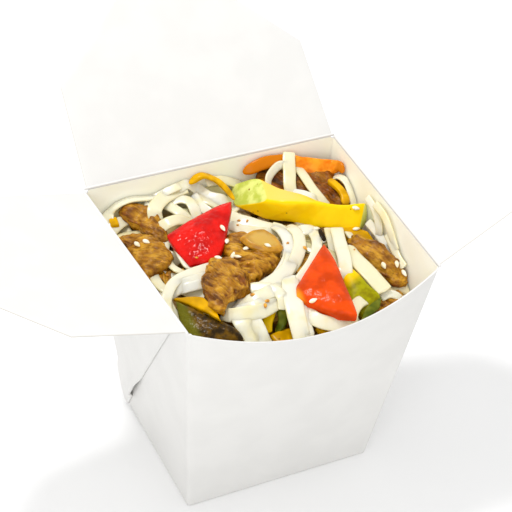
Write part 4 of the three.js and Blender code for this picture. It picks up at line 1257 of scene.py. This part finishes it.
def make_camera():
    """Camera from its place, its direction over the horizon and its roll."""
    az, el, roll = (math.radians(CAMERA_ANGLES[k]) for k in ("azimuth", "elevation", "roll"))
    back = Vector((math.sin(az) * math.cos(el), -math.cos(az) * math.cos(el), math.sin(el)))
    level = Vector((math.cos(az), math.sin(az), 0))
    upright = back.cross(level)
    right = level * math.cos(roll) + upright * math.sin(roll)
    up = upright * math.cos(roll) - level * math.sin(roll)
    data = bpy.data.cameras.new("camera")
    data.lens = LENS["focal"]
    data.sensor_width = LENS["sensor"]
    data.clip_start, data.clip_end = 0.01, 20
    camera = bpy.data.objects.new("camera", data)
    turn = Matrix((right, up, back)).transposed()
    camera.matrix_world = Matrix.Translation(CAMERA_PLACE) @ turn.to_4x4()
    bpy.context.scene.collection.objects.link(camera)
    bpy.context.scene.camera = camera


def make_light(name, watts):
    """Square soft light at its place, turned to its aim."""
    place, aim, size = LIGHTS[name]
    data = bpy.data.lights.new(name, "AREA")
    data.shape = "SQUARE"
    data.size = size
    data.energy = watts
    light = bpy.data.objects.new(name, data)
    light.location = place
    light.rotation_mode = "QUATERNION"
    light.rotation_quaternion = (Vector(aim) - Vector(place)).to_track_quat("-Z", "Y")
    bpy.context.scene.collection.objects.link(light)


def make_floor():
    """Large flat disc with its middle under the box: a ring of quads round a fan."""
    columns = 64
    angle = np.linspace(0, 2 * math.pi, columns, endpoint=False)
    rings = [np.column_stack([r * np.cos(angle), r * np.sin(angle), 0 * angle]) for r in FLOOR_RADII]
    verts = np.vstack([*rings, [[0, 0, 0]]])
    quads = grid_faces(2, columns)
    k = np.arange(columns)
    fan = np.stack([columns + k, columns + (k + 1) % columns, np.full(columns, 2 * columns)], -1)
    mesh = bpy.data.meshes.new("floor")
    mesh.from_pydata(verts.tolist(), [], quads.tolist() + fan.tolist())
    mesh.materials.append(material_of("floor"))
    floor = bpy.data.objects.new("floor", mesh)
    bpy.context.scene.collection.objects.link(floor)


# ------------------------------------------------------------------ settings


def size_property(name, description, default_mm):
    """Length in the settings, in metres."""
    return FloatProperty(name=name, description=description, default=default_mm * MM,
                         min=0.0, unit="LENGTH", precision=5)


def colour_property(name, description, code):
    """Colour in the settings, from its sRGB code."""
    return FloatVectorProperty(name=name, description=description, default=linear(code),
                               subtype="COLOR", size=3, min=0.0, max=1.0)


class NoodleBoxCarton(bpy.types.PropertyGroup):
    board: size_property("Board", "Thickness of the folded board", 0.5)
    corner_radius: size_property("Corner radius", "Radius of the carton's upright folds", 1.6)
    fold_bead: size_property("Fold bead", "Radius of the rounded crease of a flap", 0.5)


class NoodleBoxFood(bpy.types.PropertyGroup):
    noodle_width: size_property("Noodle width", "Width of a flat noodle", 4.8)
    noodle_thickness: size_property("Noodle thickness", "Thickness of a flat noodle", 0.95)
    seed_length: size_property("Seed length", "Length of a sesame seed", 3.1)
    seed: IntProperty(name="Random seed", description="Seed of the random noodles", default=4)


class NoodleBoxColours(bpy.types.PropertyGroup):
    board: colour_property("Board", "Clay-coated outside", 0xE0DFDC)
    board_shade: colour_property("Board shade", "Slight cloudiness of the coating", 0xDDDCD9)
    # cut-edge grey: partly raw pulp, partly painted shade that outlines the flaps
    board_pulp_and_edge_shade: colour_property("Cut edge", "Raw grey pulp where the board is cut", 0xD2CFC8)
    # painted light: the inside is brighter than the outside board and warm cream, for the dimmer light
    # bounced off the food
    board_inside_lit: colour_property("Inside", "Lined inside of the board", 0xFFFFF2)
    board_inside_lit_cloud: colour_property("Inside shade", "Cloudiness of the lining", 0xFDFCE8)
    noodle: colour_property("Noodle", "Clean boiled noodle", 0xE7E5D8)
    # also carries the painted shade at the noodles' edges, besides the random creamier tone
    noodle_cream: colour_property("Noodle cream", "Creamier noodle", 0xE4D8A6)
    # partly sauce, partly painted shade on noodles deeper in the heap
    noodle_sauce_and_shade: colour_property("Noodle in sauce", "Noodle deeper in the heap", 0xCE9A30)
    # painted shade in the gaps between noodles, partly brown sauce
    heap_dark: colour_property("Heap dark", "Darkest gaps between noodles", 0x52360C)
    heap_sauce_and_shade: colour_property("Heap brown", "Sauce between noodles", 0x9A6E20)
    red: colour_property("Red pepper", "Bright red skin", 0xDC160C)
    red_deep: colour_property("Red pepper deep", "Deep red skin", 0xB80802)
    orange_red: colour_property("Orange-red pepper", "Bright orange-red skin", 0xE64A08)
    orange_red_deep: colour_property("Orange-red pepper deep", "Deep orange-red skin", 0xC23C04)
    yellow: colour_property("Yellow pepper", "Bright yellow skin", 0xFFD60E)
    yellow_deep: colour_property("Yellow pepper deep", "Golden yellow skin", 0xFFCE08)
    # painted shade: yellow pepper darkened for pieces lying in shade
    yellow_shaded: colour_property("Golden pepper", "Golden skin lower in the heap", 0xE6AE04)
    yellow_shaded_deep: colour_property("Golden pepper deep", "Browner golden skin", 0xBC8A02)
    yellow_flesh: colour_property("Yellow flesh", "Pale flesh side", 0xF6CC5C)
    lime: colour_property("Lime", "Green-yellow cut ends", 0xDCE07C)
    lime_deep: colour_property("Lime deep", "Greener cut ends", 0xB9C24A)
    fleck: colour_property("Flecks", "Ground black pepper", 0x8A5A10)
    orange: colour_property("Orange pepper", "Fried orange pepper", 0xF49A24)
    orange_deep: colour_property("Orange pepper deep", "Deeper orange pepper", 0xE07208)
    orange_brown: colour_property("Orange pepper browned", "Fried brown end", 0xCC7408)
    green: colour_property("Green pepper", "Green skin", 0xA09C08)
    green_deep: colour_property("Green pepper deep", "Deeper green skin", 0x807806)
    dark_green: colour_property("Dark green", "Dark green leaf", 0x868826)
    dark_green_deep: colour_property("Dark green deep", "Darkest green", 0x4A560E)
    char: colour_property("Char", "Fried black dots", 0x1E1404)
    olive_green: colour_property("Olive green", "Olive green skin", 0x666212)
    olive_dark: colour_property("Olive dark", "Dark fried skin", 0x2A1C04)
    olive_brown: colour_property("Olive brown", "Browned skin", 0x6A4A04)
    onion: colour_property("Onion", "Golden fried onion", 0xCA9424)
    onion_deep: colour_property("Onion deep", "Browner onion", 0xA87416)
    onion_clear: colour_property("Onion clear", "Translucent middle of a slice", 0xC8A048)
    pale_onion: colour_property("Pale onion", "Soft pale onion", 0xDAD6AE)
    pale_onion_deep: colour_property("Pale onion deep", "Greyer onion", 0xB9B184)
    beef: colour_property("Beef", "Fried beef", 0xA66C0C)
    # painted highlight on the meat's ridges
    beef_ridge_highlight: colour_property("Beef light", "Ridges of the meat", 0xCE9828)
    beef_red: colour_property("Beef red", "Redder lean meat", 0x86480A)
    # painted shade in the meat's creases
    beef_crease_shade: colour_property("Beef dark", "Creases of the meat", 0x5C3404)
    # painted shade: creases of the back beef, which lies in shade
    beef_deep_shade: colour_property("Beef soaked", "Creases of meat deep in sauce", 0x3C2204)
    sesame: colour_property("Sesame", "Hulled seed", 0xFBF5E2)
    sesame_shade: colour_property("Sesame shade", "Seed's tip", 0xEBDCB4)
    crumb: colour_property("Crumb", "Fried spice crumb", 0xE8A82C)
    crumb_dark: colour_property("Crumb dark", "Darker crumb", 0xB87414)
    floor: colour_property("Floor", "White paper", 0xFAFAFA)
    floor_shade: colour_property("Floor shade", "Slight cloudiness of the paper", 0xF7F7F7)


class NoodleBoxStage(bpy.types.PropertyGroup):
    key_power: FloatProperty(name="Key light", description="Power of the key light",
                             default=4.8, min=0.0, unit="POWER")
    fill_power: FloatProperty(name="Fill light", description="Power of the fill light",
                              default=4.2, min=0.0, unit="POWER")
    surroundings: FloatProperty(name="Surroundings", description="Brightness of the white room",
                                default=0.86, min=0.0)


# ------------------------------------------------------------------ operators


class NOODLEBOX_OT_carton(bpy.types.Operator):
    """Builds the folded board carton with its corner webs"""

    bl_idname = "noodlebox.carton"
    bl_label = "Carton"

    def execute(self, context):
        walls = carton_walls()
        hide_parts("carton")
        for name, mirror in (("corner_web_left", -1), ("corner_web_right", 1)):
            web = make_piece(name, [corner_web(mirror)], [material_of("board")])
            sharpen(web, 60)
        return {"FINISHED"}


class NOODLEBOX_OT_flaps(bpy.types.Operator):
    """Builds the three hinged flaps, each riding on its own body"""

    bl_idname = "noodlebox.flaps"
    bl_label = "Flaps"

    def execute(self, context):
        for side in ("left", "back", "right"):
            surfaces, cut = flap_surfaces(side)
            piece = make_piece(f"flap_{side}_board", surfaces, [material_of("board")],
                               body=f"{side}_flap", attributes={"cut": cut})
            sharpen(piece, 40)
            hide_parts(f"flap_{side}")
        return {"FINISHED"}


class NOODLEBOX_OT_pieces(bpy.types.Operator):
    """Builds the pieces of pepper, beef and onion"""

    bl_idname = "noodlebox.pieces"
    bl_label = "Peppers, beef and onion"

    def execute(self, context):
        for seed, entry in enumerate(PIECES):
            make_food(entry, seed)
        return {"FINISHED"}


class NOODLEBOX_OT_noodles(bpy.types.Operator):
    """Builds the noodles and the core of the heap under them"""

    bl_idname = "noodlebox.noodles"
    bl_label = "Noodles"

    def execute(self, context):
        noodle_core()
        make_noodles()
        return {"FINISHED"}


class NOODLEBOX_OT_seeds(bpy.types.Operator):
    """Scatters sesame seeds, crumbs of spice and one charred sliver over the food"""

    bl_idname = "noodlebox.seeds"
    bl_label = "Seeds and crumbs"

    def execute(self, context):
        names = [f"{entry['node']}_cooked" for entry in PIECES] + ["noodles", "noodle_core"]
        tree = surface_tree(names)
        length = food_sizes().seed_length / MM
        drop = seed_loops(length, 0.6 * length, 0.36 * length)
        parts = [closed_skin(laid(drop, tree, x, y, turn)) for x, y, turn in SEEDS]
        seeds = make_piece("sesame_seeds", parts, [material_of("sesame")])
        rng = np.random.default_rng(food_sizes().seed)
        parts = []
        for x, y in CRUMBS:
            for _ in range(rng.integers(1, 4)):
                size = rng.uniform(0.7, 2.1)
                grain = seed_loops(size, 0.7 * size, 0.5 * size)
                at = (x + rng.normal(0, 1.8), y + rng.normal(0, 1.8))
                parts.append(closed_skin(laid(grain, tree, *at, rng.uniform(0, 360))))
        crumbs = make_piece("spice_crumbs", parts, [material_of("crumb")])
        charred_sliver()
        return {"FINISHED"}


class NOODLEBOX_OT_stage(bpy.types.Operator):
    """Sets the camera, the soft lights and the pale floor"""

    bl_idname = "noodlebox.stage"
    bl_label = "Stage"

    def execute(self, context):
        settings = context.scene.noodle_box_stage
        make_camera()
        make_light("key", settings.key_power)
        make_light("fill", settings.fill_power)
        world = bpy.data.worlds.new("white_room")
        world.use_nodes = True
        background = world.node_tree.nodes["Background"]
        background.inputs["Color"].default_value = (1, 1, 1, 1)
        background.inputs["Strength"].default_value = settings.surroundings
        context.scene.world = world
        context.scene.view_settings.view_transform = "Standard"
        context.scene.view_settings.look = "None"
        make_floor()
        return {"FINISHED"}


class NOODLEBOX_PT_panel(bpy.types.Panel):
    """Lists the steps that build the noodle box"""

    bl_idname = "NOODLEBOX_PT_panel"
    bl_label = "Noodle box"
    bl_space_type = "VIEW_3D"
    bl_region_type = "UI"
    bl_category = "Noodle box"

    def draw(self, context):
        for operator in OPERATORS:
            self.layout.operator(operator.bl_idname)
        for name in GROUPS:
            self.layout.prop(context.scene, name)


OPERATORS = (
    NOODLEBOX_OT_stage,
    NOODLEBOX_OT_carton,
    NOODLEBOX_OT_flaps,
    NOODLEBOX_OT_pieces,
    NOODLEBOX_OT_noodles,
    NOODLEBOX_OT_seeds,
)
GROUPS = {
    "noodle_box_carton": NoodleBoxCarton,
    "noodle_box_food": NoodleBoxFood,
    "noodle_box_colours": NoodleBoxColours,
    "noodle_box_stage": NoodleBoxStage,
}
CLASSES = (*GROUPS.values(), *OPERATORS, NOODLEBOX_PT_panel)


def register():
    """Adds the classes and the four groups of settings."""
    for cls in CLASSES:
        bpy.utils.register_class(cls)
    for name, group in GROUPS.items():
        setattr(bpy.types.Scene, name, PointerProperty(type=group))


def unregister():
    """Takes the settings and the classes out again."""
    for name in GROUPS:
        delattr(bpy.types.Scene, name)
    for cls in reversed(CLASSES):
        bpy.utils.unregister_class(cls)


def main():
    register()
    bpy.ops.noodlebox.stage()
    bpy.ops.noodlebox.carton()
    bpy.ops.noodlebox.flaps()
    bpy.ops.noodlebox.pieces()
    bpy.ops.noodlebox.noodles()
    bpy.ops.noodlebox.seeds()


if __name__ == "__main__":
    main()
